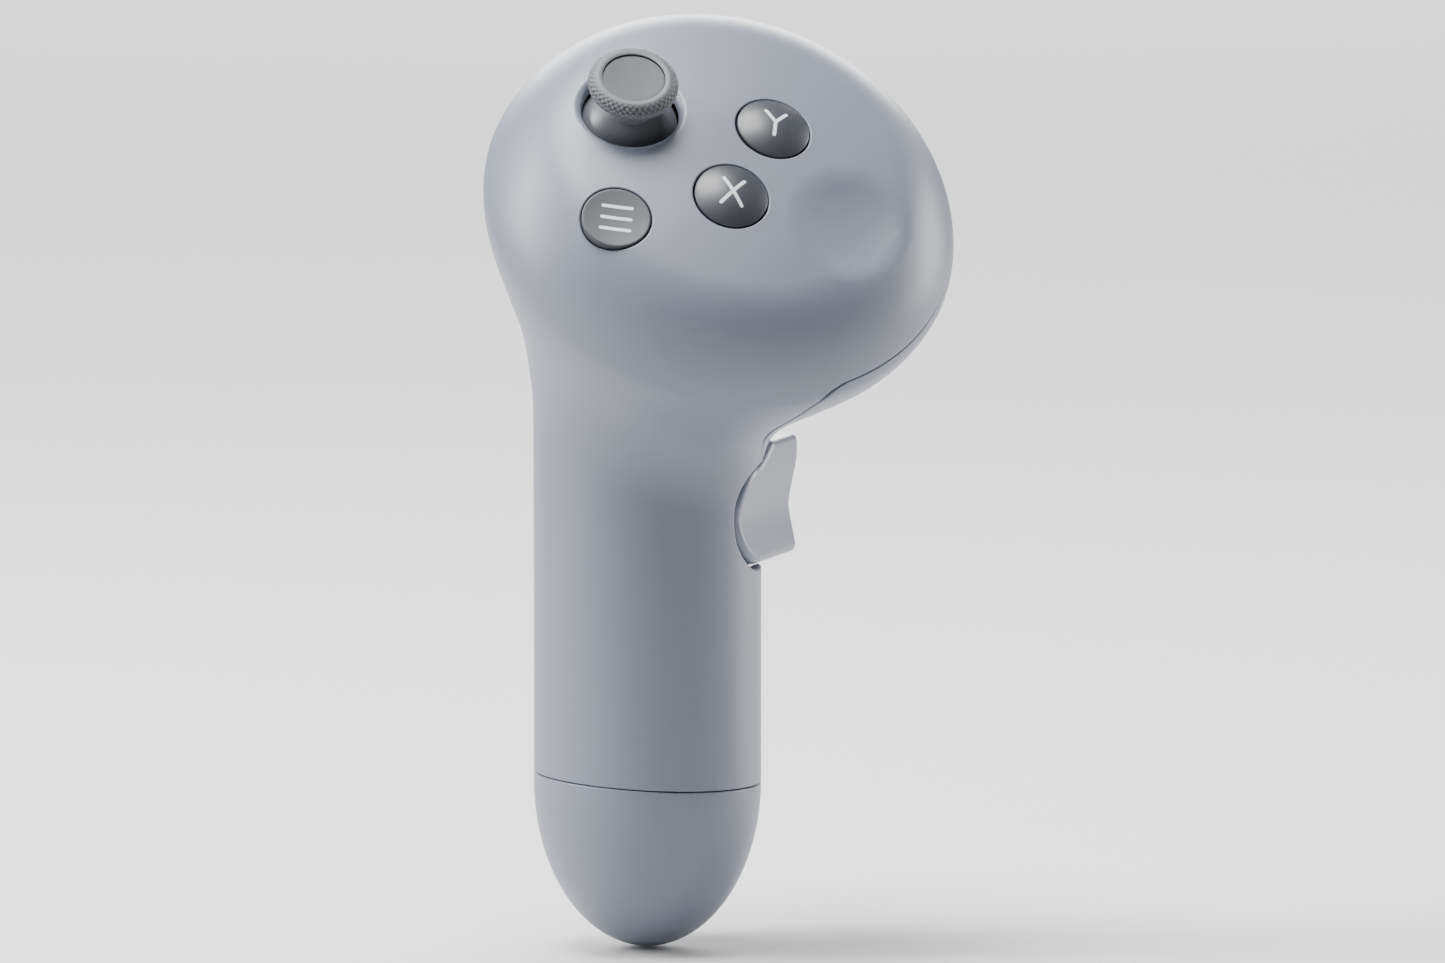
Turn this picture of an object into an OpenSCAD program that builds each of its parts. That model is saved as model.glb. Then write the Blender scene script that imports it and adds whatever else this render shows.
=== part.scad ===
// Left-hand motion controller: a round handle with a tilted disc-shaped head.
// +Z runs up the handle axis, +Y points forward, +X is the inner side.
// The origin lies on the handle axis, in the middle of the plain cylinder.

/* [Handle] */
// Outside diameter of the handle
handle_d = 32; // [28:0.5:40]
// Length of the rounded lower end
end_len = 23.5; // [20:0.5:30]
// Height at which the rounded lower end starts
end_z = -16.5; // [-24:0.5:-14]
// Height of the parting line of the battery cap
cap_seam_z = -15.8; // [-20:0.1:-13]
// Slope of that parting line, degrees
cap_seam_tilt = 3; // [0:0.5:6]
// Wall of every outer shell
wall = 1.8; // [1.4:0.1:2.2]

/* [Head] */
// Radius of the head disc
head_r = 33.7; // [30:0.1:42]
// Half thickness of the head at its middle
head_half = 14.8; // [13.5:0.1:18]
// Rounding radius of the head's rim
rim_r = 11.7; // [9:0.1:13]
// Radius of the domed top and underside
dome_r = 130; // [100:5:300]
// Tilt of the head away from level, degrees
head_tilt = 46; // [40:1:52]
// Turn of the head towards the inner side, degrees
head_turn = 32.5; // [25:0.5:40]
// Centre of the head disc
head_c = [10.12, 1.07, 63.29]; // [-80:0.01:80]
// Size of the soft blend between head and handle
neck_blend = 15; // [10:1:18]
// Level of the head's parting line above the disc's middle plane
head_seam_w = 2; // [0:0.5:4]

/* [Controls] */
// Place of the X button, along and up the face
x_at = [-3.15, -7.6]; // [-20:0.05:20]
// Place of the Y button
y_at = [5.5, 4]; // [-20:0.05:20]
// Place of the menu button
menu_at = [-19.9, -9.5]; // [-22:0.05:22]
// Place of the thumb stick
stick_at = [-14, 9.45]; // [-20:0.05:20]
// Place of the thumb rest
rest_at = [14.5, -12.8]; // [-20:0.05:20]
// Diameter of the X and Y buttons
button_d = 10.4; // [9:0.1:11]
// How far their domes rise
button_rise = 1.3; // [0.5:0.1:2]
// Diameter of the menu button
menu_d = 9.6; // [8:0.1:10.4]
// Press travel of the X and Y buttons
button_travel = 0.9; // [0.4:0.1:1]
// Press travel of the menu button
menu_travel = 0.45; // [0.3:0.05:0.8]
// Diameter of the stick's cap
stick_d = 12.7; // [11:0.1:14]
// Height of the stick's cap above the face
stick_top = 6; // [5:0.1:7]
// Diameter of the well around the stick
well_d = 14.1; // [13:0.1:16]
// Depth of the stick's pivot below the face
pivot_depth = 8.6; // [8:0.1:9.4]
// Diameter of the thumb rest
rest_d = 19.5; // [16:0.5:22]
// Depth of the thumb rest
rest_depth = 1.5; // [0.5:0.1:1.8]

/* [Grip lever] */
// Turn of the lever's pressing face, degrees
lever_turn = -5; // [-12:1:0]
// Distance of its deepest line from the handle axis
lever_face = 15.3; // [14.6:0.1:16.4]
// How far its nose and lip stand out from that line
lever_bulge = 1.25; // [0.5:0.05:1.6]
// Height of the deepest line
lever_mid_z = 21.5; // [20:0.5:23]
// Lower edge of the lever
lever_z0 = 14.8; // [14.5:0.1:16]
// Upper edge of the lever
lever_z1 = 31.6; // [30:0.1:32.4]
// Far side of the lever, forward of the handle axis
lever_far = 17; // [14:0.5:18]
// Height of its pin
lever_pin_z = 33.6; // [33:0.1:34]
// Distance of its pin from the handle axis
lever_pin_x = 10.2; // [9.6:0.1:10.6]

/* [Trigger] */
// Turn of the trigger about the handle axis, degrees
trigger_turn = 16; // [8:1:24]
// Sideways middle of the trigger
trigger_mid = 2; // [0:0.5:4]
// Width of the trigger
trigger_w = 15; // [13:0.5:16]
// Distance of its pin, forward of the handle axis
trigger_pin_y = 9.5; // [9:0.1:10]
// Height of its pin
trigger_pin_z = 66.5; // [66:0.1:67]

/* [Battery] */
// Diameter of the cell
cell_d = 14.5; // [13.8:0.1:14.8]
// Length of the cell
cell_len = 50.5; // [49.5:0.1:51]
// Height of the cell's upper end
cell_top = 16.9; // [16:0.1:17]
// Wall of the tube around the cell
tube_wall = 0.8; // [0.6:0.1:0.9]

/* [Clearances] */
// Gap at every parting line
seam_gap = 0.12; // [0.05:0.01:0.3]
// Gap around a button
button_gap = 0.2; // [0.1:0.05:0.4]
// Gap around the grip lever and the trigger
lever_gap = 0.35; // [0.25:0.05:0.5]
// Extra room below the grip lever, for its lower edge as it swings in
lever_room = 0.55; // [0.3:0.05:0.8]
// Gap between a pin and what turns on it
pin_gap = 0.04; // [0.02:0.01:0.08]
// Gap around the battery cell
cell_gap = 0.25; // [0.15:0.05:0.4]
// Gap between the cap's collar and the handle's bore
collar_gap = 0.3; // [0.2:0.05:0.5]

/* [Boards and fasteners] */
// Level of the chassis plate
chassis_w = 3.2; // [2.6:0.1:3.6]
// Thickness of the chassis plate
chassis_t = 1.8; // [1.4:0.1:2]
// Thickness of the button board
button_board_t = 1.2; // [0.8:0.1:1.2]
// Level of the main board's underside
board_w = -2.6; // [-3:0.1:-2.4]
// Thickness of the main board
board_t = 1.6; // [1:0.1:1.6]
// Radius of the main board
board_r = 25; // [22:0.5:26]
// Diameter of the pivot pins
pin_d = 2; // [1.6:0.1:2.2]
// Diameter of the small screws
screw_d = 1.8; // [1.6:0.1:2]
// Diameter of the magnets
magnet_d = 3; // [2:0.1:3.2]

/* [Hidden] */
$fn = 64;
handle_r = handle_d/2;
bore_r = handle_r - wall;
blend_top_z = 40.6;
tube_top_z = 14;
far = 200;
cap_turn = 15;
rings_up = 12;
rings_over = 13;
screw_r = screw_d/2;
pin_r = pin_d/2;
magnet_r = magnet_d/2;
tube_r = cell_d/2 + cell_gap + tube_wall;
boss_at = [[3, 20], [-6, -20], [20.5, 5]];
post_at = [[18, -3], [-15, 18.6]];
post_r = 2.1;
post_gap = 1.4;
stand_at = [[0, -16], [8, 18], [-20, -2]];

// ---- shape of the body: a distance-like field, negative inside ----

head_u = [cos(head_turn), sin(head_turn), 0];
head_n = [sin(head_tilt)*sin(head_turn), -sin(head_tilt)*cos(head_turn), cos(head_tilt)];
head_v = cross(head_n, head_u);

function soft_min(a, b, k) = let (h = max(k - abs(a - b), 0)/k) min(a, b) - h*h*k/4;

function end_field(rho, dz) =
    let (k0 = norm([rho/handle_r, dz/end_len]), k1 = norm([rho/handle_r^2, dz/end_len^2]))
    k0*(k0 - 1)/max(k1, 0.000001);

function handle_field(p) = let (rho = norm([p.x, p.y]))
    p.z < end_z ? end_field(rho, p.z - end_z)
    : norm([rho, max(p.z - blend_top_z, 0)]) - handle_r;

function head_field(p) =
    let (q = p - head_c, h = q*head_n, rr = sqrt(max(q*q - h*h, 0)), hh = abs(h) + rr*rr/(2*dome_r),
        a = rr - (head_r - rim_r), b = hh - (head_half - rim_r))
    norm([max(a, 0), max(b, 0)]) + min(max(a, b), 0) - rim_r;

// face_w is the height of the face above the disc's middle plane
function face_w(at) = head_half - (at.x^2 + at.y^2)/(2*dome_r);
function face_point(at) = head_c + at.x*head_u + at.y*head_v + face_w(at)*head_n;
function face_normal(at) = let (g = at.x/dome_r*head_u + at.y/dome_r*head_v + head_n) g/norm(g);

rest_ball_r = ((rest_d/2)^2 + rest_depth^2)/(2*rest_depth);
rest_ball_c = face_point(rest_at) + (rest_ball_r - rest_depth)*face_normal(rest_at);
rest_blend = 1.2;

function body_field(p) =
    -soft_min(-soft_min(handle_field(p), head_field(p), neck_blend),
        norm(p - rest_ball_c) - rest_ball_r, rest_blend);

function reach(dir, off, lo, hi, n) = let (m = (lo + hi)/2)
    n == 0 ? m
    : body_field(head_c + m*dir) < -off ? reach(dir, off, m, hi, n - 1)
    : reach(dir, off, lo, m, n - 1);

function unit(d) = d/norm(d);

// rings of rays from the head's centre: round the handle, out over the rim, in over the face
function ring_ray(r, z, a) =
    let (p = r*cos(a)*head_u + r*sin(a)*[-sin(head_turn), cos(head_turn), 0] + [0, 0, z])
    unit(p - head_c);
function cone_ray(polar, a) = sin(polar)*(cos(a)*head_u + sin(a)*head_v) - cos(polar)*head_n;

function plain_ring(r, z, count) = [for (j = [0:count - 1]) let (a = 360*j/count)
    r*cos(a)*head_u + r*sin(a)*[-sin(head_turn), cos(head_turn), 0] + [0, 0, z]];

ring_start = 26;
cone_start = 85;
function skin_rays(off, count) = concat(
    [for (z = [21, 23.5]) [for (j = [0:count - 1]) ring_ray(handle_r - off, z, 360*j/count)]],
    [for (i = [0:rings_up]) [for (j = [0:count - 1]) let (a = 360*j/count, s = i/rings_up)
        unit((1 - s)*ring_ray(handle_r - off, ring_start, a) + s*cone_ray(cone_start, a))]],
    [for (i = [1:rings_over]) [for (j = [0:count - 1])
        cone_ray(cone_start + (172 - cone_start)*i/rings_over, 360*j/count)]]);

// skin is the solid inside the body's surface moved in by off, from the plain tube upwards
module skin(off, count) {
    rays = skin_rays(off, count);
    cast = [for (ring = rays) [for (d = ring) head_c + reach(d, off, 5, 80, 22)*d]];
    rings = concat([plain_ring(handle_r - off - 0.06, tube_top_z - 1, count)],
        [for (z = [15, 18]) plain_ring(handle_r - off, z, count)], cast);
    m = len(rings);
    points = concat([for (ring = rings) each ring], [head_c + reach(head_n, off, 5, 80, 22)*head_n]);
    polyhedron(points, concat(
        [[for (j = [0:count - 1]) j]],
        [for (i = [0:m - 2]) for (j = [0:count - 1]) let (k = (j + 1) % count)
            [i*count + j, (i + 1)*count + j, (i + 1)*count + k]],
        [for (i = [0:m - 2]) for (j = [0:count - 1]) let (k = (j + 1) % count)
            [i*count + j, (i + 1)*count + k, i*count + k]],
        [for (j = [0:count - 1]) [(m - 1)*count + j, m*count, (m - 1)*count + (j + 1) % count]]));
}

// ---- frames ----

module at_head() { translate(head_c) rotate([0, 0, head_turn]) rotate([head_tilt, 0, 0]) children(); }

module at_face(at) {
    az = atan2(at.y, at.x);
    tip = atan(norm(at)/dome_r);
    at_head() translate([at.x, at.y, face_w(at)])
        rotate([0, 0, az]) rotate([0, tip, 0]) rotate([0, 0, -az]) children();
}

module at_lever() { rotate([0, 0, lever_turn]) children(); }
module at_trigger() { rotate([0, 0, trigger_turn]) translate([trigger_mid, 0, 0]) children(); }

// along_x turns an extrusion of a (forward, up) outline so that it runs along X, centred
module along_x(width) { rotate([90, 0, 90]) translate([0, 0, -width/2]) linear_extrude(width) children(); }
// along_y turns an extrusion of an (out, up) outline so that it runs along Y from y0 to y1
module along_y(y0, y1) {
    translate([0, y1, 0]) rotate([90, 0, 0]) linear_extrude(y1 - y0) children();
}

module pill(length, height) {
    r = height/2;
    union() {
        for (s = [-1, 1]) translate([s*(length/2 - r), 0]) circle(r);
        square([length - height, height], center = true);
    }
}

// coil is a round wire wound up +Z from radius r0 to r1
module coil(r0, r1, height, turns, wire) {
    steps = ceil(turns*14);
    sides = 6;
    points = [for (i = [0:steps]) let (t = i/steps, a = 360*turns*t, r = r0 + (r1 - r0)*t)
        for (j = [0:sides - 1]) let (b = 360*j/sides, q = r + wire/2*cos(b))
            [q*cos(a), q*sin(a), height*t + wire/2*sin(b)]];
    polyhedron(points, concat(
        [[for (j = [0:sides - 1]) j]],
        [[for (j = [0:sides - 1]) steps*sides + sides - 1 - j]],
        [for (i = [0:steps - 1]) for (j = [0:sides - 1]) let (k = (j + 1) % sides)
            [i*sides + j, (i + 1)*sides + j, (i + 1)*sides + k]],
        [for (i = [0:steps - 1]) for (j = [0:sides - 1]) let (k = (j + 1) % sides)
            [i*sides + j, (i + 1)*sides + k, i*sides + k]]));
}

// ---- parting surfaces and openings ----

cover_side_turn = -12;
cover_side_at = [28, -14.9];
cover_low_y = 1.4;
cover_low_z = 28.7;
cover_slope = 0.56;

// cover_space is the space in which the outer shell belongs to the front cover
module cover_space(gap) {
    low = cover_low_z + gap;
    intersection() {
        at_head() translate([-far/2, -far/2, head_seam_w - gap - far]) cube(far);
        translate(cover_side_at) rotate([0, 0, cover_side_turn]) translate([-far, gap, -far/4])
            cube([2*far, far, far]);
        translate([-far/2, 0, 0]) rotate([90, 0, 90]) linear_extrude(far)
            polygon([[-far/4, low + cover_slope*(far/4 + cover_low_y)], [cover_low_y, low], [far/2, low],
                [far/2, far], [-far/4, far]]);
    }
}

// below_seam is everything under the battery cap's parting line
module below_seam(rise) {
    rotate([0, 0, cap_turn]) translate([0, 0, cap_seam_z + rise]) rotate([0, cap_seam_tilt, 0])
        translate([-far/2, -far/2, -far]) cube(far);
}

lever_outline_c = [1.8, 21.7];
lever_outline_r = 6.85;
// lever_outline is the lever's edge seen from the inner side, grown by gap: (across, up)
module lever_outline(gap) {
    union() {
        translate(lever_outline_c) circle(lever_outline_r + gap);
        polygon([[lever_outline_c.x, lever_z0 - gap], [lever_far + gap, lever_z0 - gap],
            [lever_far + gap, lever_z1 + gap], [lever_outline_c.x + 6, lever_z1 + gap],
            [lever_outline_c.x, lever_outline_c.y + lever_outline_r + gap]]);
    }
}

lever_back = 12;
lever_swing_x = 8.9;
module lever_opening() {
    at_lever() translate([lever_swing_x, 0, 0]) rotate([90, 0, 90]) linear_extrude(20) {
        lever_outline(lever_gap);
        translate([0, -lever_room]) lever_outline(lever_gap);
    }
}

trigger_swing_r = 23.85;
trigger_open_top = 69.2;
// the opening's lower edge is an arc about the trigger's pin, so the trigger always fills it
module trigger_opening() {
    at_trigger() along_x(trigger_w + 2*lever_gap) intersection() {
        translate([trigger_pin_y, trigger_pin_z]) circle(trigger_swing_r + lever_gap, $fn = 128);
        translate([4, 30]) square([36, trigger_open_top - 30]);
    }
}

module face_holes() {
    for (at = [x_at, y_at]) at_face(at) translate([0, 0, -4]) cylinder(r = button_d/2 + button_gap, h = 8);
    at_face(menu_at) translate([0, 0, -4]) cylinder(r = menu_d/2 + button_gap, h = 8);
    at_face(stick_at) translate([0, 0, -4]) cylinder(d = well_d, h = 8);
}

// ---- outer shells ----

boss_r = 2.6;
module main_shell() color([0.74, 0.75, 0.78]) difference() {
    union() {
        difference() {
            union() {
                translate([0, 0, end_z - 1.5]) cylinder(r = handle_r, h = tube_top_z - end_z + 1.5);
                skin(0, 40);
            }
            translate([0, 0, end_z - 3]) cylinder(r = bore_r, h = tube_top_z - end_z + 3);
            skin(wall, 32);
            cover_space(0);
        }
        at_head() for (at = boss_at) translate([at.x, at.y, chassis_w + chassis_t])
            cylinder(r = boss_r, h = face_w(at) - wall/2 - chassis_w - chassis_t);
    }
    below_seam(0);
    face_holes();
    lever_opening();
    at_head() for (at = boss_at) translate([at.x, at.y, chassis_w + chassis_t - 1])
        cylinder(r = screw_r, h = 6.5);
}

module front_cover() color([0.72, 0.73, 0.76]) difference() {
    intersection() {
        difference() {
            skin(0, 40);
            skin(wall, 32);
        }
        cover_space(seam_gap);
    }
    lever_opening();
    trigger_opening();
    at_head() for (at = post_at) translate([at.x, at.y, -face_w(at) - 2]) {
        cylinder(r = screw_r + 0.15, h = 6);
        cylinder(r = 2.1, h = 2 + wall/2);
    }
}

collar_r = bore_r - collar_gap;
collar_in = collar_r - 1.5;
collar_z = [-20.6, -17.2, -11];
end_in = end_len - wall;
function end_arc(r, len, z, a0, a1) = [for (i = [0:20]) let (a = a0 + (a1 - a0)*i/20)
    [r*sin(a), z - len*cos(a)]];

module end_solid(r, len) rotate_extrude($fn = 96)
    polygon(concat(end_arc(r, len, end_z, 0, 90), [[r, end_z + 4], [0, end_z + 4]]));

release_az = 31;
release_z = -23.2;
release_size = [8, 4];
release_back = 11.5;
module at_release() {
    rotate([0, 0, release_az]) translate([0, 0, release_z]) rotate([90, 0, 90]) children();
}

rib_r = [8.75, 9.5];
module battery_cap() color([0.74, 0.75, 0.78]) difference() {
    union() {
        intersection() {
            difference() {
                end_solid(handle_r, end_len);
                end_solid(bore_r, end_in);
            }
            below_seam(-seam_gap);
        }
        translate([0, 0, collar_z[0]]) rotate_extrude($fn = 96)
            polygon([[collar_in, 0], [bore_r + 0.3, 0], [bore_r + 0.3, collar_z[1] - collar_z[0]],
                [collar_r, collar_z[1] - collar_z[0]], [collar_r, collar_z[2] - collar_z[0]],
                [collar_in, collar_z[2] - collar_z[0]]]);
        intersection() {
            rotate([0, 0, release_az]) translate([rib_r[0], -2.4, end_z - end_in])
                cube([rib_r[1] - rib_r[0], 4.8, 17.5]);
            end_solid(handle_r - wall/2, end_len - wall/2);
        }
    }
    at_release() translate([0, 0, rib_r[1] + 0.5]) linear_extrude(far)
        pill(release_size.x + 2*button_gap, release_size.y + 2*button_gap);
    translate([0, 0, seal_z]) rotate_extrude($fn = 96) translate([collar_r, 0])
        square([1.6, 1.5], center = true);
}

seal_z = -13.5;
seal_r = 0.5;
module cap_seal() color([0.12, 0.12, 0.13]) translate([0, 0, seal_z]) rotate_extrude($fn = 96)
    translate([collar_r - seal_r + 0.22, 0]) circle(seal_r, $fn = 24);

module cap_release() color([0.72, 0.73, 0.76]) union() {
    intersection() {
        at_release() linear_extrude(far) pill(release_size.x, release_size.y);
        end_solid(handle_r, end_len);
        rotate([0, 0, release_az]) translate([release_back, -far/2, -far/2]) cube(far);
    }
    at_release() translate([0, 0, release_back]) linear_extrude(0.9)
        pill(release_size.x + 1.4, release_size.y + 1.2);
}

module release_spring() color([0.7, 0.7, 0.72]) at_release()
    translate([0, 0, rib_r[1] + 0.2]) coil(1.3, 1.3, release_back - rib_r[1] - 0.4, 3, 0.3);

// ---- battery bay ----

spring_z = -37.05;
module battery_spring() color([0.75, 0.75, 0.77]) translate([0, 0, spring_z])
    coil(2.2, 4.6, cell_top - cell_len - 0.4 - spring_z, 4, 0.6);

module battery_cell() color([0.2, 0.22, 0.25]) union() {
    translate([0, 0, cell_top - cell_len]) cylinder(d = cell_d, h = cell_len - 1);
    translate([0, 0, cell_top - 1.5]) cylinder(r = 2.7, h = 1.5);
}

tube_z = [-31, 17.7, 18.9];
fin_t = 1.6;
module battery_tube() color([0.3, 0.31, 0.33]) union() {
    difference() {
        translate([0, 0, tube_z[0]]) cylinder(r = tube_r, h = tube_z[2] - tube_z[0]);
        translate([0, 0, tube_z[0] - 1]) cylinder(r = tube_r - tube_wall, h = tube_z[1] - tube_z[0] + 1);
    }
    for (a = [100, 190, 280]) rotate([0, 0, a]) translate([tube_r - tube_wall/2, -fin_t/2, -8])
        cube([bore_r - tube_r + tube_wall/2 - 0.15, fin_t, 20]);
}

module battery_contact() color([0.8, 0.78, 0.7]) translate([0, 0, cell_top + 0.1])
    cylinder(r = 5.5, h = tube_z[1] - cell_top - 0.15);

// ---- grip lever ----

// profile of the pressing face: distance from the axis at height z
function lever_x(z) = lever_face + lever_bulge*(1 - cos(min(abs(z - lever_mid_z)/7.2, 1)*180))/2;
lever_edge_r = 2;

module lever_profile() {
    top = lever_z1 - 1.4;
    polygon(concat(
        [for (i = [0:14]) let (z = lever_z0 + 0.7 + (top - lever_z0 - 0.7)*i/14) [lever_x(z), z]],
        [[lever_x(top) - 0.5, lever_z1 - 0.5], [lever_x(top) - 1.6, lever_z1], [lever_back, lever_z1],
            [lever_back, lever_z0], [lever_x(lever_z0) - 0.7, lever_z0]]));
}

hub_r = 2.2;
hub_y = [-3.4, 1];
module grip_lever() color([0.72, 0.73, 0.76]) at_lever() difference() {
    union() {
        intersection() {
            along_y(-8, lever_far) lever_profile();
            rotate([90, 0, 90]) linear_extrude(30) lever_outline(0);
            // rounded far edge, seen from above
            linear_extrude(60) union() {
                translate([lever_face + lever_bulge - lever_edge_r, lever_far - lever_edge_r])
                    circle(lever_edge_r);
                translate([0, -40]) square([30, 40 + lever_far - lever_edge_r]);
                translate([0, -40]) square([lever_face + lever_bulge - lever_edge_r, 40 + lever_far]);
            }
        }
        along_y(hub_y[0], hub_y[1]) union() {
            translate([lever_pin_x, lever_pin_z]) circle(hub_r);
            polygon([[lever_pin_x - hub_r + 0.4, lever_pin_z], [lever_pin_x + hub_r, lever_pin_z],
                [lever_back + 1.5, 28], [lever_back + 1.5, 24], [lever_back, 24], [lever_back - 0.6, 28]]);
        }
    }
    along_y(-8, 8) translate([lever_pin_x, lever_pin_z]) circle(pin_r + pin_gap);
    translate([lever_back - 1, 4, 19.5]) rotate([0, 90, 0]) cylinder(r = magnet_r + 0.02, h = 3);
}

module grip_magnet() color([0.6, 0.6, 0.62]) at_lever()
    translate([lever_back, 4, 19.5]) rotate([0, 90, 0]) cylinder(r = magnet_r, h = 1.9);

bracket_t = 1.4;
bracket_y = [-5.3, 4.5];
module grip_pin() color([0.7, 0.7, 0.72]) at_lever()
    along_y(bracket_y[0] + 0.1, bracket_y[1] + bracket_t - 0.1)
        translate([lever_pin_x, lever_pin_z]) circle(pin_r);

cradle_z = 36.4;
module grip_bracket() color([0.35, 0.36, 0.38]) at_lever() difference() {
    union() {
        for (y = bracket_y) along_y(y, y + bracket_t) union() {
            translate([lever_pin_x, lever_pin_z]) circle(2.1);
            polygon([[5.2, 31], [6.4, 31], [lever_pin_x, lever_pin_z - 2.1], [lever_pin_x + 2.1, lever_pin_z],
                [lever_pin_x + 2.1, cradle_z], [5.2, cradle_z]]);
        }
        translate([5.2, bracket_y[0], 31])
            cube([1.2, bracket_y[1] + bracket_t - bracket_y[0], cradle_z - 31]);
    }
    along_y(-8, 8) translate([lever_pin_x, lever_pin_z]) circle(pin_r + 0.01);
}

module grip_spring() color([0.7, 0.7, 0.72]) at_lever() translate([lever_pin_x, 1.45, lever_pin_z])
    rotate([-90, 0, 0]) coil(1.55, 1.55, 2.6, 4, 0.4);

module sensor_board() color([0.1, 0.35, 0.2]) at_lever() translate([3, -5, tube_z[2]]) cube([1.2, 11, 12]);

module hall_sensors() color([0.1, 0.1, 0.1]) {
    at_lever() translate([4.2, 2.6, 19.5]) cube([1, 3, 3]);
    at_trigger() translate([-1.5, trigger_plate_y + 1.4, 58]) cube([3, 1, 3]);
}

// ---- index trigger ----

module trigger_outline() {
    round_to(0.7) polygon(concat([[13, 69], [18, 67.8], [20.2, 65.6], [21.5, 62.6], [22, 59.6], [21.7, 56.6],
        [20.9, 53.6], [20.5, 50.8], [20.9, 48.4], [22, 46.8]],
        [for (i = [0:8]) let (a = 31 - 24*i/8) [trigger_pin_y + trigger_swing_r*sin(a),
            trigger_pin_z - trigger_swing_r*cos(a)]],
        [[12.1, 46], [12.2, 52], [10.6, 57.5], [8.2, 61.5],
        [trigger_pin_y - 2.5, trigger_pin_z], [trigger_pin_y, trigger_pin_z + 2.5]]));
}

module round_to(r) { offset(r) offset(-r) children(); }

trigger_hub_to = 3;
module index_trigger() color([0.7, 0.71, 0.74]) at_trigger() difference() {
    intersection() {
        along_x(trigger_w) trigger_outline();
        // the front view: a rounded tongue
        translate([0, 40, 0]) rotate([90, 0, 0]) linear_extrude(60) round_to(1)
            polygon([[-trigger_w/2, 80], [-trigger_w/2, 40], [trigger_w/2, 40], [trigger_w/2, 80]]);
    }
    along_x(30) translate([trigger_pin_y, trigger_pin_z]) circle(pin_r + pin_gap);
    // room for the spring beside the hub
    translate([trigger_hub_to, 0, 0]) rotate([90, 0, 90]) linear_extrude(4)
        translate([trigger_pin_y, trigger_pin_z]) circle(3.4);
    translate([0, 9.4, 61.5]) rotate([-90, 0, 0]) cylinder(r = magnet_r + 0.02, h = 3.6);
}

module trigger_magnet() color([0.6, 0.6, 0.62]) at_trigger()
    translate([0, 11, 61.5]) rotate([-90, 0, 0]) cylinder(r = magnet_r, h = 1.95);

trigger_cheek = [trigger_w/2 + 0.8, 1.5];
trigger_plate_y = 2;
trigger_plate_z = [57, 61.5];
module trigger_pin() color([0.7, 0.7, 0.72]) at_trigger()
    along_x(2*(trigger_cheek[0] + trigger_cheek[1]) - 0.2)
        translate([trigger_pin_y, trigger_pin_z]) circle(pin_r);

module trigger_bracket() color([0.35, 0.36, 0.38]) union() {
    at_trigger() difference() {
        union() {
            for (s = [-1, 1]) translate([s*(trigger_cheek[0] + trigger_cheek[1]/2), 0, 0])
                along_x(trigger_cheek[1]) union() {
                    translate([trigger_pin_y, trigger_pin_z]) circle(2.3);
                    polygon([[trigger_pin_y - 2.2, trigger_pin_z + 0.7],
                        [trigger_plate_y, trigger_plate_z[1]],
                        [trigger_plate_y, trigger_plate_z[0]], [trigger_plate_y + 1.4, trigger_plate_z[0]],
                        [trigger_pin_y + 2, trigger_pin_z - 1.2]]);
                }
            translate([-trigger_cheek[0] - 0.5, trigger_plate_y, trigger_plate_z[0]])
                cube([2*trigger_cheek[0] + 1, 1.4, trigger_plate_z[1] - trigger_plate_z[0]]);
        }
        along_x(40) translate([trigger_pin_y, trigger_pin_z]) circle(pin_r + 0.01);
    }
    at_head() for (at = bracket_post) translate(at) cylinder(r = 1.6, h = board_w - 0.05 - at.z);
}
bracket_post = [[-11.2, 2.8, -8.4], [-1.6, 0.8, -6.4]];

module trigger_spring() color([0.7, 0.7, 0.72]) at_trigger()
    translate([trigger_hub_to + 0.4, trigger_pin_y, trigger_pin_z]) rotate([0, 90, 0])
        coil(2, 2, 3.1, 4.5, 0.5);

// ---- buttons ----

flange_t = 0.8;
module push_button(r, rise, flange_top, stem_end) {
    ball = rise > 0 ? (r*r + rise*rise)/(2*rise) : 0;
    union() {
        translate([0, 0, -flange_top - 0.2]) cylinder(r = r, h = flange_top + 0.2);
        if (rise > 0) intersection() {
            translate([0, 0, rise - ball]) sphere(ball);
            translate([0, 0, -1]) cylinder(r = r, h = rise + 2);
        }
        translate([0, 0, -flange_top - flange_t]) cylinder(r = r + 0.9, h = flange_t);
        translate([0, 0, -stem_end]) cylinder(r = stem_r, h = stem_end - flange_top);
    }
}

mat_top = 7.4;
stem_gap = 0.25;
stem_r = 2.4;
// a stem leans with its button, so its rim needs a little more room
function stem_end(at, travel) = face_w(at) - mat_top - travel - stem_gap - stem_r*norm(at)/dome_r;
button_flange = 2.7;
module button_x() color([0.22, 0.23, 0.26]) at_face(x_at)
    push_button(button_d/2, button_rise, button_flange, stem_end(x_at, button_travel));
module button_y() color([0.22, 0.23, 0.26]) at_face(y_at)
    push_button(button_d/2, button_rise, button_flange, stem_end(y_at, button_travel));

menu_dish_r = 60;
menu_flange = 3.55;
module menu_button() color([0.3, 0.31, 0.34]) at_face(menu_at) difference() {
    push_button(menu_d/2, 0, menu_flange, stem_end(menu_at, menu_travel));
    translate([0, 0, menu_dish_r - 0.15]) sphere(menu_dish_r);
}

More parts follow.
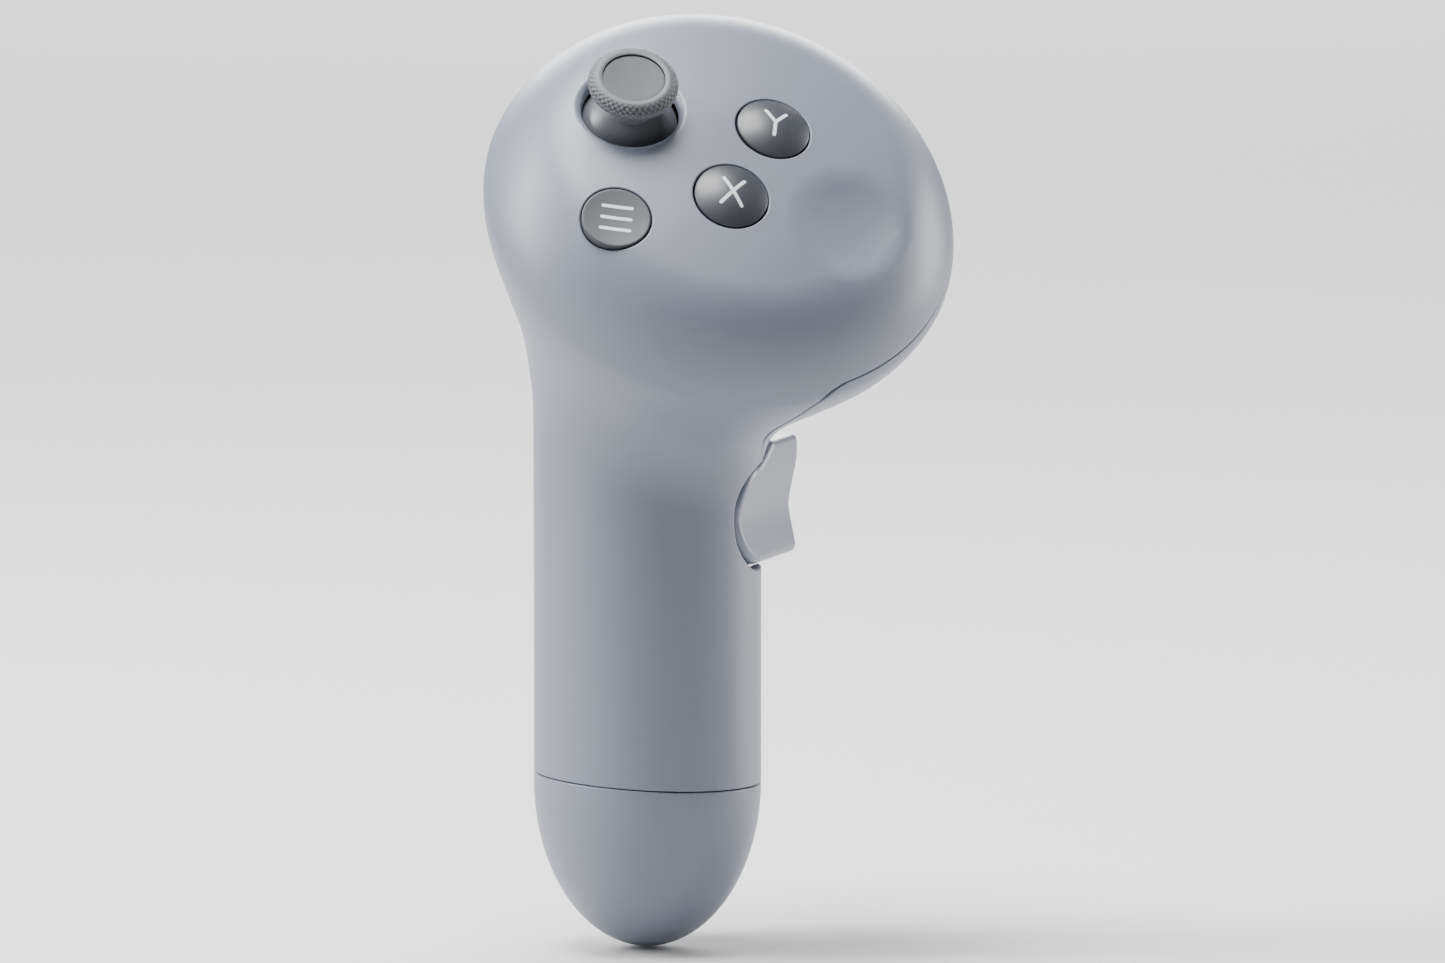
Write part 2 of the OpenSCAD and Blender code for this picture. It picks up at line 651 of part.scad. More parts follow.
mat_r = 5.6;
mat_w = chassis_w + chassis_t + button_board_t;
module button_mat() color([0.55, 0.55, 0.57]) at_head() difference() {
    union() {
        for (at = [x_at, y_at, menu_at]) translate([at.x, at.y, mat_w]) cylinder(r = mat_r, h = 0.7);
        for (at = [x_at, y_at, menu_at]) translate([at.x, at.y, mat_w])
            cylinder(r1 = 3.6, r2 = 2.6, h = mat_top - mat_w);
        translate([menu_at.x, menu_at.y - 2, mat_w]) cube([x_at.x - menu_at.x, 5, 0.7]);
        translate([x_at.x, x_at.y, mat_w]) rotate([0, 0, 45]) translate([0, -2, 0]) cube([14, 4, 0.7]);
    }
    for (at = [x_at, y_at, menu_at]) translate([at.x, at.y, mat_w - 1]) cylinder(r = 1.8, h = 2);
}

housing = 14;
module housing_space(gap) at_face(stick_at) translate([-housing/2 - gap, -housing/2 - gap, -20])
    cube([housing + 2*gap, housing + 2*gap, 20]);

plate_r = 27;
module button_board() color([0.1, 0.35, 0.2]) difference() {
    at_head() translate([0, 0, chassis_w + chassis_t]) cylinder(r = plate_r - 2.5, h = button_board_t);
    housing_space(0.4);
    at_head() for (at = boss_at) translate([at.x, at.y, 0]) cylinder(r = boss_r + 0.2, h = 12);
}

module chassis() color([0.35, 0.36, 0.38]) difference() {
    union() {
        at_head() translate([0, 0, chassis_w]) cylinder(r = plate_r, h = chassis_t);
        at_head() for (at = stand_at) translate([at.x, at.y, board_w + board_t])
            cylinder(r = 2.1, h = chassis_w - board_w - board_t + 0.5);
        at_head() for (at = post_at) translate([at.x, at.y, wall + post_gap - face_w(at)])
            cylinder(r = post_r, h = chassis_w + face_w(at) - wall - post_gap + 0.5);
    }
    housing_space(0.3);
    at_head() {
        for (at = boss_at) translate([at.x, at.y, 0]) cylinder(r = screw_r + 0.15, h = 12);
        for (at = stand_at) translate([at.x, at.y, board_w]) cylinder(r = screw_r, h = 6.5);
        for (at = post_at) translate([at.x, at.y, -20]) cylinder(r = screw_r, h = 18);
    }
}

module main_board() color([0.1, 0.35, 0.2]) difference() {
    at_head() translate([0, 0, board_w]) cylinder(r = board_r, h = board_t);
    at_head() {
        for (at = stand_at) translate([at.x, at.y, -4]) cylinder(r = screw_r + 0.15, h = 6);
        for (at = post_at) translate([at.x, at.y, -4]) cylinder(r = post_r + 0.3, h = 6);
    }
}

module screw(head_r, head_h, length) union() {
    cylinder(r = head_r, h = head_h);
    translate([0, 0, head_h/2]) cylinder(r = screw_r - 0.02, h = length);
}

module shell_screws() color([0.6, 0.6, 0.62]) at_head() for (at = boss_at)
    translate([at.x, at.y, chassis_w - 1.12]) screw(1.7, 1.1, 7);
module cover_screws() color([0.6, 0.6, 0.62]) at_head() for (at = post_at)
    translate([at.x, at.y, wall/2 - 0.82 - face_w(at)]) screw(1.9, 0.8, 7.5);
module board_screws() color([0.6, 0.6, 0.62]) at_head() for (at = stand_at)
    translate([at.x, at.y, board_w - 1.12]) screw(1.7, 1.1, 5);

// ---- thumb stick, in a frame whose origin is the face at the stick ----

carrier_half = 5.8;
yoke_r = [2.9, 4.1];
trunnion_r = 0.6;
dome_out = pivot_depth + 0.3;
dome_in = dome_out - 0.9;
module at_stick() at_face(stick_at) children();
module at_pivot() at_stick() translate([0, 0, -pivot_depth]) children();

neck_r = 3.3;
shaft_r = 1.5;
cap_bottom = 2.6;
module stick_dome() color([0.2, 0.21, 0.23]) at_pivot() difference() {
    union() {
        intersection() {
            difference() {
                sphere(dome_out);
                sphere(dome_in);
            }
            cylinder(r1 = 0, r2 = 14*tan(50), h = 14);
        }
        translate([0, 0, dome_in - 1.2]) cylinder(r = neck_r, h = pivot_depth + cap_bottom - dome_in + 1.2);
    }
    translate([0, 0, 2]) cylinder(r = shaft_r + 0.02, h = 20);
}

module stick_shaft() color([0.6, 0.6, 0.62]) at_pivot() union() {
    sphere(2);
    cylinder(r = shaft_r, h = pivot_depth + 4.2);
    rotate([90, 0, 0]) cylinder(r = trunnion_r, h = 2*yoke_r[1] - 0.4, center = true);
}

rim_tube = 1.45;
inlay_r = stick_d/2 - rim_tube - 0.5;
module stick_cap() color([0.25, 0.26, 0.28]) at_stick() rotate_extrude($fn = 96)
    polygon(concat([[shaft_r + 0.02, cap_bottom], [neck_r + 0.4, cap_bottom]],
        [for (i = [0:16]) let (a = -90 + 180*i/16)
            [stick_d/2 - rim_tube + rim_tube*cos(a), stick_top - rim_tube + rim_tube*sin(a)]],
        [[stick_d/2 - rim_tube - 0.45, stick_top - 0.2], [inlay_r + 0.15, stick_top - 0.75], [0, stick_top - 0.75],
            [0, 4.3], [shaft_r + 0.02, 4.3]]));

module stick_inlay() color([0.2, 0.21, 0.23]) at_stick() translate([0, 0, stick_top - 0.75])
    rotate_extrude() polygon([[0, 0], [inlay_r, 0], [inlay_r, 0.35], [inlay_r - 0.5, 0.45], [inlay_r/2, 0.3],
        [0, 0.25]]);

module stick_yoke() color([0.6, 0.6, 0.62]) at_pivot() difference() {
    union() {
        translate([0, 0, -0.8]) cylinder(r = yoke_r[1], h = 1.6);
        rotate([0, 90, 0]) cylinder(r = trunnion_r, h = 2*carrier_half - 1, center = true);
    }
    translate([0, 0, -3]) cylinder(r = yoke_r[0], h = 6);
    rotate([90, 0, 0]) cylinder(r = trunnion_r + pin_gap, h = 12, center = true);
}

module stick_carrier() color([0.85, 0.85, 0.83]) at_pivot() difference() {
    translate([-carrier_half, -carrier_half, -1]) cube([2*carrier_half, 2*carrier_half, 2]);
    translate([-4.4, -4.4, -3]) cube([8.8, 8.8, 6]);
    rotate([0, 90, 0]) cylinder(r = trunnion_r + pin_gap, h = 20, center = true);
}

module stick_spring() color([0.7, 0.7, 0.72]) at_pivot() translate([0, 0, -4.75]) coil(4.7, 4.7, 3, 3, 0.4);

module click_switch() color([0.15, 0.15, 0.16]) at_pivot() union() {
    translate([-2.5, -2.5, -5]) cube([5, 5, 1.9]);
    translate([0, 0, -3.2]) cylinder(r = 1.1, h = 0.65);
}

module stick_housing() color([0.15, 0.15, 0.16]) intersection() {
    at_stick() difference() {
        translate([-housing/2, -housing/2, -18]) cube([housing, housing, 18 - 6.5]);
        translate([-housing/2 + 1, -housing/2 + 1, -13.65]) cube([housing - 2, housing - 2, 13.65 - 7.2]);
        translate([0, 0, -8]) cylinder(r = 4.8, h = 4);
    }
    at_head() translate([-far/2, -far/2, board_w + board_t]) cube(far);
}

// ---- sensing, light and touch ----

module touch_pad() color([0.8, 0.6, 0.3]) union() {
    at_face(rest_at) translate([0, 0, -wall - rest_depth - 0.7]) cylinder(r = 7.5, h = 0.3);
    at_head() translate([rest_at.x, rest_at.y, mat_w])
        cylinder(r = 1.8, h = face_w(rest_at) - wall - rest_depth - 0.5 - mat_w);
}

flex_r = 28.4;
flex_w = -0.6;
module led_flex() color([0.7, 0.45, 0.15]) at_head() difference() {
    translate([0, 0, flex_w]) cylinder(r = flex_r, h = 3.4);
    translate([0, 0, flex_w - 1]) cylinder(r = flex_r - 0.3, h = 6);
}
module tracking_leds() color([0.1, 0.1, 0.12]) at_head() for (i = [0:7])
    rotate([0, 0, 22.5 + 45*i]) translate([flex_r + 0.02, -1, flex_w + 0.7]) cube([1, 2, 2]);

// ---- haptics ----

module haptic_motor() color([0.7, 0.7, 0.72]) translate([-2.5, -2, cradle_z + 1.5]) cylinder(r = 6, h = 5);
module haptic_cradle() color([0.35, 0.36, 0.38]) difference() {
    translate([0, 0, cradle_z]) cylinder(r = bore_r - 0.3, h = 1.5);
    at_lever() translate([11.5, -20, cradle_z - 1]) cube([20, 40, 4]);
}

main_shell();
front_cover();
battery_cap();
cap_seal();
cap_release();
release_spring();
battery_spring();
battery_tube();
battery_cell();
battery_contact();
grip_lever();
grip_pin();
grip_spring();
grip_magnet();
grip_bracket();
sensor_board();
hall_sensors();
index_trigger();
trigger_pin();
trigger_spring();
trigger_magnet();
trigger_bracket();
button_x();
button_y();
menu_button();
button_mat();
button_board();
chassis();
main_board();
stick_cap();
stick_inlay();
stick_dome();
stick_shaft();
stick_yoke();
stick_carrier();
stick_spring();
click_switch();
stick_housing();
touch_pad();
led_flex();
tracking_leds();
haptic_motor();
haptic_cradle();
shell_screws();
cover_screws();
board_screws();
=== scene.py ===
import math
import bmesh
import bpy
import numpy as np
from mathutils import Matrix, Vector


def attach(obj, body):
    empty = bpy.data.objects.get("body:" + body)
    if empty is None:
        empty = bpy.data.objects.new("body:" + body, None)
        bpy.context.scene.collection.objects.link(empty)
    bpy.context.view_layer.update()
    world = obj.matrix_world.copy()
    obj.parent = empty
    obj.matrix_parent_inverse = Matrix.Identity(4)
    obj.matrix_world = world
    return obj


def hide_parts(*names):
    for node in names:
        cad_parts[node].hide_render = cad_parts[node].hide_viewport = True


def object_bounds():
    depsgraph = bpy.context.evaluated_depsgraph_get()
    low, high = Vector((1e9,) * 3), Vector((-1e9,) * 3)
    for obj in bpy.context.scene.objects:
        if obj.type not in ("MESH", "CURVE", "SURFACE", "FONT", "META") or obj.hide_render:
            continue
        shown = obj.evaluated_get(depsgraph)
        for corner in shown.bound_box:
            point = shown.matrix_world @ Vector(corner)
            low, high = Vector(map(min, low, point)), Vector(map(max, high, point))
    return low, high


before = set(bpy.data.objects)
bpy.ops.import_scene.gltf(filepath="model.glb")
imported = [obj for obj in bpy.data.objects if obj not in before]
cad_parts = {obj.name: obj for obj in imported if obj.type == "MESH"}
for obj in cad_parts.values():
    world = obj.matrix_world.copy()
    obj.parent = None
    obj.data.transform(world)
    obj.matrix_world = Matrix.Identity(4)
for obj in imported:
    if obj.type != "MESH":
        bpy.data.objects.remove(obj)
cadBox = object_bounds()
mm = 0.001

bodyShape = {  # in mm: the same formula and values as the CAD shells
    "handleR": 16.0, "endLen": 23.5, "endZ": -16.5, "blendTopZ": 40.6, "neckBlend": 15.0,
    "headR": 33.7, "headHalf": 14.8, "rimR": 11.7, "domeR": 130.0, "tilt": 46.0, "turn": 32.5,
    "centre": (10.12, 1.07, 63.29), "wall": 1.8,
    "restAt": (14.5, -12.8), "restD": 19.5, "restDepth": 1.5, "restBlend": 0.6,
}
headC = np.array(bodyShape["centre"])
tiltA, turnA = math.radians(bodyShape["tilt"]), math.radians(bodyShape["turn"])
headN = np.array([math.sin(tiltA) * math.sin(turnA), -math.sin(tiltA) * math.cos(turnA), math.cos(tiltA)])
headU = np.array([math.cos(turnA), math.sin(turnA), 0.0])
headV = np.cross(headN, headU)


def faceHeight(at):
    return bodyShape["headHalf"] - (at[0] ** 2 + at[1] ** 2) / (2 * bodyShape["domeR"])


def facePoint(at):
    return headC + at[0] * headU + at[1] * headV + faceHeight(at) * headN


def faceNormal(at):
    g = at[0] / bodyShape["domeR"] * headU + at[1] / bodyShape["domeR"] * headV + headN
    return g / np.linalg.norm(g)


def softMin(a, b, k):
    h = np.maximum(k - np.abs(a - b), 0) / k
    return np.minimum(a, b) - h * h * k / 4


restBallR = ((bodyShape["restD"] / 2) ** 2 + bodyShape["restDepth"] ** 2) / (2 * bodyShape["restDepth"])
restRise = restBallR - bodyShape["restDepth"]
restBallC = facePoint(bodyShape["restAt"]) + restRise * faceNormal(bodyShape["restAt"])


def bodyField(p):  # negative inside, zero on the body's surface
    s = bodyShape
    rho = np.hypot(p[:, 0], p[:, 1])
    top = np.hypot(rho, np.maximum(p[:, 2] - s["blendTopZ"], 0)) - s["handleR"]
    low = np.minimum(p[:, 2] - s["endZ"], 0)
    k0 = np.hypot(rho / s["handleR"], low / s["endLen"])
    k1 = np.maximum(np.hypot(rho / s["handleR"] ** 2, low / s["endLen"] ** 2), 1e-9)
    handle = np.where(low < 0, k0 * (k0 - 1) / k1, top)
    q = p - headC
    h = q @ headN
    rr = np.sqrt(np.maximum((q * q).sum(1) - h * h, 0))
    a = rr - (s["headR"] - s["rimR"])
    b = np.abs(h) + rr * rr / (2 * s["domeR"]) - (s["headHalf"] - s["rimR"])
    head = np.hypot(np.maximum(a, 0), np.maximum(b, 0)) + np.minimum(np.maximum(a, b), 0) - s["rimR"]
    rest = restBallR - np.linalg.norm(p - restBallC, axis=1)
    return -softMin(-softMin(handle, head, s["neckBlend"]), -rest, s["restBlend"])


def bodyNormals(p):
    step = 0.02
    g = np.zeros_like(p)
    for i in range(3):
        d = np.zeros(3)
        d[i] = step
        g[:, i] = bodyField(p + d) - bodyField(p - d)
    return g / np.maximum(np.linalg.norm(g, axis=1, keepdims=True), 1e-9)


def cast(origin, rays, near=0.0):  # where the rays leave the body, between near and 80 mm out
    lo, hi = np.full(len(rays), near), np.full(len(rays), 80.0)
    for _ in range(34):
        mid = (lo + hi) / 2
        inside = bodyField(origin + mid[:, None] * rays) < 0
        lo, hi = np.where(inside, mid, lo), np.where(inside, hi, mid)
    return origin + ((lo + hi) / 2)[:, None] * rays


def castOut(rays):  # from the head's centre
    return cast(headC, rays, 5.0)


def turnAbout(angle, axis):
    return np.array(Matrix.Rotation(math.radians(angle), 3, axis))


def faceFrame(at):  # a 4x4 matrix whose origin is on the face and whose Z leaves it
    az = math.degrees(math.atan2(at[1], at[0]))
    tip = math.degrees(math.atan(math.hypot(*at) / bodyShape["domeR"]))
    turn = turnAbout(az, "Z") @ turnAbout(tip, "Y") @ turnAbout(-az, "Z")
    m = np.eye(4)
    m[:3, :3] = np.stack([headU, headV, headN], 1) @ turn
    m[:3, 3] = facePoint(at)
    return Matrix(m.tolist())


controls = {"x": (-3.15, -7.6), "y": (5.5, 4.0), "menu": (-19.9, -9.5), "stick": (-14.0, 9.45)}
frames = {name: faceFrame(at) for name, at in controls.items()}
leverFrame = Matrix.Rotation(math.radians(-5), 4, "Z")
triggerFrame = Matrix.Rotation(math.radians(16), 4, "Z") @ Matrix.Translation((2, 0, 0))


class Sock:  # one output socket that takes part in sums
    def __init__(self, paint, socket):
        self.paint, self.socket = paint, socket

    def math(self, operation, a, b=None):
        values = {0: a} if b is None else {0: a, 1: b}
        return self.paint.node("ShaderNodeMath", {"operation": operation}, values)

    def __add__(self, other): return self.math("ADD", self, other)
    def __radd__(self, other): return self.math("ADD", other, self)
    def __sub__(self, other): return self.math("SUBTRACT", self, other)
    def __rsub__(self, other): return self.math("SUBTRACT", other, self)
    def __mul__(self, other): return self.math("MULTIPLY", self, other)
    def __rmul__(self, other): return self.math("MULTIPLY", other, self)
    def __truediv__(self, other): return self.math("DIVIDE", self, other)
    def __pow__(self, other): return self.math("POWER", self, other)
    def least(self, other): return self.math("MINIMUM", self, other)
    def most(self, other): return self.math("MAXIMUM", self, other)


class Paint:  # one material being built
    def __init__(self, name):
        self.material = bpy.data.materials.new(name)
        self.material.use_nodes = True
        self.tree = self.material.node_tree
        self.shader = self.tree.nodes["Principled BSDF"]

    def node(self, kind, settings=None, values=None, out=0):
        made = self.tree.nodes.new(kind)
        for key, value in (settings or {}).items():
            if key == "stops":
                ramp = made.color_ramp.elements
                while len(ramp) < len(value):
                    ramp.new(0.5)
                for element, (place, colour) in zip(ramp, value):
                    element.position, element.color = place, (*colour, 1)
            else:
                setattr(made, key, value)
        for key, value in (values or {}).items():
            self.feed(made.inputs[key], value)
        return Sock(self, made.outputs[out])

    def feed(self, target, value):
        if isinstance(value, Sock):
            self.tree.links.new(value.socket, target)
        else:
            target.default_value = value

    def set(self, **values):
        for key, value in values.items():
            self.feed(self.shader.inputs[key.replace("_", " ")], value)
        return self

    def place(self):
        return self.node("ShaderNodeTexCoord", out="Object")

    def noise(self, scale, detail=3.0, rough=0.55, where=None):
        return self.node("ShaderNodeTexNoise", {}, {"Vector": where or self.place(), "Scale": scale,
                                                    "Detail": detail, "Roughness": rough})

    def mix(self, factor, a, b):
        return self.node("ShaderNodeMix", {"data_type": "RGBA"}, {0: factor, 6: a, 7: b}, 2)

    def bump(self, height, strength, distance):
        return self.node("ShaderNodeBump", {}, {"Height": height, "Strength": strength, "Distance": distance})

    def local(self, matrix):  # Object coordinates turned into mm in one control's own frame
        loc, rot, _ = matrix.decompose()
        return self.node("ShaderNodeMapping", {"vector_type": "TEXTURE"}, {
            "Vector": self.place(), "Location": loc * mm, "Rotation": rot.to_euler(), "Scale": (mm, mm, mm)})


def tone(colour, factor):
    return (*[c * factor for c in colour[:3]], 1)


plasticLook = {"grain": 3800.0, "grainDepth": 0.00002, "cloud": 45.0}


def mouldedPlastic(name, colour, roughness, grain):
    p = Paint(name)
    cloud = p.noise(plasticLook["cloud"], 2.0)
    fine = p.noise(plasticLook["grain"], 2.0, 0.6)
    p.set(Base_Color=p.mix(cloud, tone(colour, 0.965), tone(colour, 1.03)),
          Roughness=roughness - 0.04 + 0.08 * fine,
          Normal=p.bump(fine, grain, plasticLook["grainDepth"]))
    p.shader.inputs["Specular IOR Level"].default_value = 0.5
    return p.material


def metalLook(name, colour, roughness, scratch=0.15):
    p = Paint(name)
    wear = p.noise(900.0, 4.0)
    drawn = p.node("ShaderNodeMapping", {}, {"Vector": p.place(), "Scale": (1, 1, 0.05)})
    lines = p.noise(6000.0, 1.0, where=drawn)
    p.set(Base_Color=p.mix(wear, tone(colour, 0.85), tone(colour, 1.05)), Metallic=1.0,
          Roughness=roughness + 0.12 * wear, Normal=p.bump(lines, scratch, 0.00002))
    return p.material


def rubberLook(name, colour, roughness):
    p = Paint(name)
    dust = p.noise(260.0, 3.0)
    fine = p.noise(5200.0, 2.0)
    p.set(Base_Color=p.mix(dust, tone(colour, 0.86), tone(colour, 1.14)),
          Roughness=roughness + 0.08 * fine, Normal=p.bump(fine, 0.3, 0.00002))
    return p.material


def boardLook(name):  # solder mask with tracks and pads
    p = Paint(name)
    turned = p.local(Matrix(np.block([[np.stack([headU, headV, headN], 1), headC[:, None]],
                                      [np.zeros((1, 3)), np.ones((1, 1))]]).tolist()))
    brick = p.node("ShaderNodeTexBrick", {"offset": 0.5}, {
        "Vector": turned, "Color1": (0.012, 0.11, 0.05, 1), "Color2": (0.02, 0.15, 0.07, 1),
        "Mortar": (0.05, 0.26, 0.12, 1), "Scale": 0.55, "Mortar Size": 0.03})
    dots = p.node("ShaderNodeTexVoronoi", {}, {"Vector": turned, "Scale": 0.6})
    pad = dots.math("LESS_THAN", dots, 0.16)
    p.set(Base_Color=p.mix(pad, brick, (0.62, 0.5, 0.24, 1)), Metallic=pad * 0.9,
          Roughness=0.38 - 0.1 * pad, Normal=p.bump(pad, 0.4, 0.00005))
    return p.material


cellBand = {"from": 4.0, "end": 15.6}


def cellLook(name):  # a plain sleeve with a bright end
    p = Paint(name)
    height = p.node("ShaderNodeSeparateXYZ", {}, {0: p.place()}, "Z")
    band = height.math("GREATER_THAN", height, cellBand["from"] * mm)
    end = height.math("GREATER_THAN", height, cellBand["end"] * mm)
    body = p.mix(band, (0.03, 0.035, 0.05, 1), (0.55, 0.33, 0.12, 1))
    p.set(Base_Color=p.mix(end, body, (0.7, 0.7, 0.72, 1)), Metallic=0.35 + 0.6 * end,
          Roughness=0.25 + 0.1 * p.noise(700.0))
    return p.material


def strokes(p, where, lines, width):  # 1 on the drawn lines, 0 elsewhere
    x = p.node("ShaderNodeSeparateXYZ", {}, {0: where}, "X")
    y = p.node("ShaderNodeSeparateXYZ", {}, {0: where}, "Y")
    nearest = None
    for ax, ay, bx, by in lines:
        dx, dy = bx - ax, by - ay
        t = ((x - ax) * dx + (y - ay) * dy) / (dx * dx + dy * dy)
        t = t.most(0.0).least(1.0)
        ex, ey = x - ax - t * dx, y - ay - t * dy
        far = (ex * ex + ey * ey) ** 0.5
        nearest = far if nearest is None else nearest.least(far)
    edge = 0.03
    return ((width / 2 + edge - nearest) / (2 * edge)).most(0.0).least(1.0)


legend = {"turn": -17.0, "height": 4.2, "wide": 2.9, "stroke": 0.5, "bar": 4.0, "pitch": 1.85,
          "ink": (0.62, 0.64, 0.67, 1)}


def markedPlastic(name, colour, roughness, matrix, lines):
    p = Paint(name)
    where = p.local(matrix @ Matrix.Rotation(math.radians(legend["turn"]), 4, "Z"))
    mark = strokes(p, where, lines, legend["stroke"])
    fine = p.noise(3000.0, 2.0)
    dust = p.noise(160.0, 3.0)
    p.set(Base_Color=p.mix(mark, p.mix(dust, tone(colour, 0.94), tone(colour, 1.06)), legend["ink"]),
          Roughness=roughness + 0.04 * fine + 0.15 * mark, Normal=p.bump(fine, 0.08, 0.00001))
    p.shader.inputs["Coat Weight"].default_value = 0.1
    p.shader.inputs["Coat Roughness"].default_value = 0.2
    return p.material


def finishPiece(name, bm, matrix, material, body, replaced=(), sharp=35.0, wish=None):
    bmesh.ops.transform(bm, matrix=Matrix.Scale(mm, 4) @ matrix, verts=bm.verts)
    for v in bm.verts:  # the facets of the frame lie a hair inside the true curve
        v.co = [min(max(v.co[i], cadBox[0][i]), cadBox[1][i]) for i in range(3)]
    mesh = bpy.data.meshes.new(name)
    normals = [tuple(v[wish]) for v in bm.verts] if wish else None
    bm.to_mesh(mesh)
    bm.free()
    mesh.shade_smooth()
    if normals:
        mesh.normals_split_custom_set_from_vertices(normals)
    else:
        mesh.set_sharp_from_angle(angle=math.radians(sharp))
    mesh.materials.append(material)
    piece = bpy.data.objects.new(name, mesh)
    bpy.context.scene.collection.objects.link(piece)
    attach(piece, body)
    if replaced:
        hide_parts(*replaced)
    return piece


def softCorners(points, steps=5):  # (r, z, radius) corners become arcs
    out = []
    n = len(points)
    for i, (r, z, radius) in enumerate(points):
        here = Vector((r, z))
        if not radius or i in (0, n - 1):
            out.append(tuple(here))
            continue
        back = (Vector(points[i - 1][:2]) - here).normalized()
        ahead = (Vector(points[i + 1][:2]) - here).normalized()
        half = back.angle(ahead) / 2
        mid = here + (back + ahead).normalized() * (radius / math.sin(half))
        a, b = here + back * radius / math.tan(half) - mid, here + ahead * radius / math.tan(half) - mid
        for k in range(steps + 1):
            d = a.slerp(b, k / steps) if a.length and b.length else a
            out.append(tuple(mid + d.normalized() * radius))
    return out


def spun(profile, steps):  # a profile of (r, z) turned about Z, closed on the axis
    bm = bmesh.new()
    verts = [bm.verts.new((max(r, 0.0), 0, z)) for r, z in profile]
    edges = [bm.edges.new(pair) for pair in zip(verts, verts[1:])]
    bmesh.ops.spin(bm, geom=verts + edges, cent=(0, 0, 0), axis=(0, 0, 1), angle=math.tau, steps=steps,
                   use_merge=True)
    bmesh.ops.remove_doubles(bm, verts=bm.verts, dist=0.0005)
    bmesh.ops.recalc_face_normals(bm, faces=bm.faces)
    return bm


def asObject(bm, name):
    mesh = bpy.data.meshes.new(name)
    bm.to_mesh(mesh)
    obj = bpy.data.objects.new(name, mesh)
    bpy.context.scene.collection.objects.link(obj)
    return obj


def carve(bm, cutter, operation):  # an exact boolean between two bmeshes
    base, tool = asObject(bm, "base"), asObject(cutter, "tool")
    change = base.modifiers.new("cut", "BOOLEAN")
    change.operation, change.solver, change.object = operation, "EXACT", tool
    bpy.context.view_layer.update()
    result = base.evaluated_get(bpy.context.evaluated_depsgraph_get()).to_mesh()
    bm.clear()
    bm.from_mesh(result)
    cutter.free()
    for obj in (base, tool):
        mesh = obj.data
        bpy.data.objects.remove(obj)
        bpy.data.meshes.remove(mesh)


def prism(outline, low, high, matrix):  # a closed (x, y) outline run along Z
    bm = bmesh.new()
    verts = [bm.verts.new((x, y, low)) for x, y in outline]
    face = bm.faces.new(verts)
    grown = bmesh.ops.extrude_face_region(bm, geom=[face])["geom"]
    upper = [g for g in grown if isinstance(g, bmesh.types.BMVert)]
    bmesh.ops.translate(bm, vec=(0, 0, high - low), verts=upper)
    bmesh.ops.recalc_face_normals(bm, faces=bm.faces)
    bmesh.ops.transform(bm, matrix=matrix, verts=bm.verts)
    return bm


def roundHole(matrix, radius):
    bm = bmesh.new()
    bmesh.ops.create_cone(bm, cap_ends=True, segments=96, radius1=radius, radius2=radius, depth=9)
    bmesh.ops.transform(bm, matrix=matrix, verts=bm.verts)
    return bm


def halfSpaces(planes, grow):  # a big convex block: the inside of every (point, outward normal) plane
    bm = bmesh.new()
    bmesh.ops.create_cube(bm, size=400)
    for point, normal in planes:
        n = Vector(normal).normalized()
        cut = bmesh.ops.bisect_plane(bm, geom=bm.verts[:] + bm.edges[:] + bm.faces[:], dist=1e-5,
                                     plane_co=Vector(point) + n * grow, plane_no=n, clear_outer=True)
        edges = [g for g in cut["geom_cut"] if isinstance(g, bmesh.types.BMEdge)]
        bmesh.ops.contextual_create(bm, geom=edges)
    bmesh.ops.recalc_face_normals(bm, faces=bm.faces)
    return bm


def keepSurface(bm, field, slack):  # drops every face that doesn't lie on the surface
    bm.verts.ensure_lookup_table()
    centres = np.array([tuple(f.calc_center_median()) for f in bm.faces])
    far = np.abs(field(centres)) > slack
    corners = np.abs(field(np.array([tuple(v.co) for v in bm.verts]))) > slack
    bm.verts.index_update()
    gone = [f for f, bad in zip(bm.faces[:], far) if bad or any(corners[v.index] for v in f.verts)]
    bmesh.ops.delete(bm, geom=gone, context="FACES")
    bmesh.ops.remove_doubles(bm, verts=bm.verts, dist=0.002)


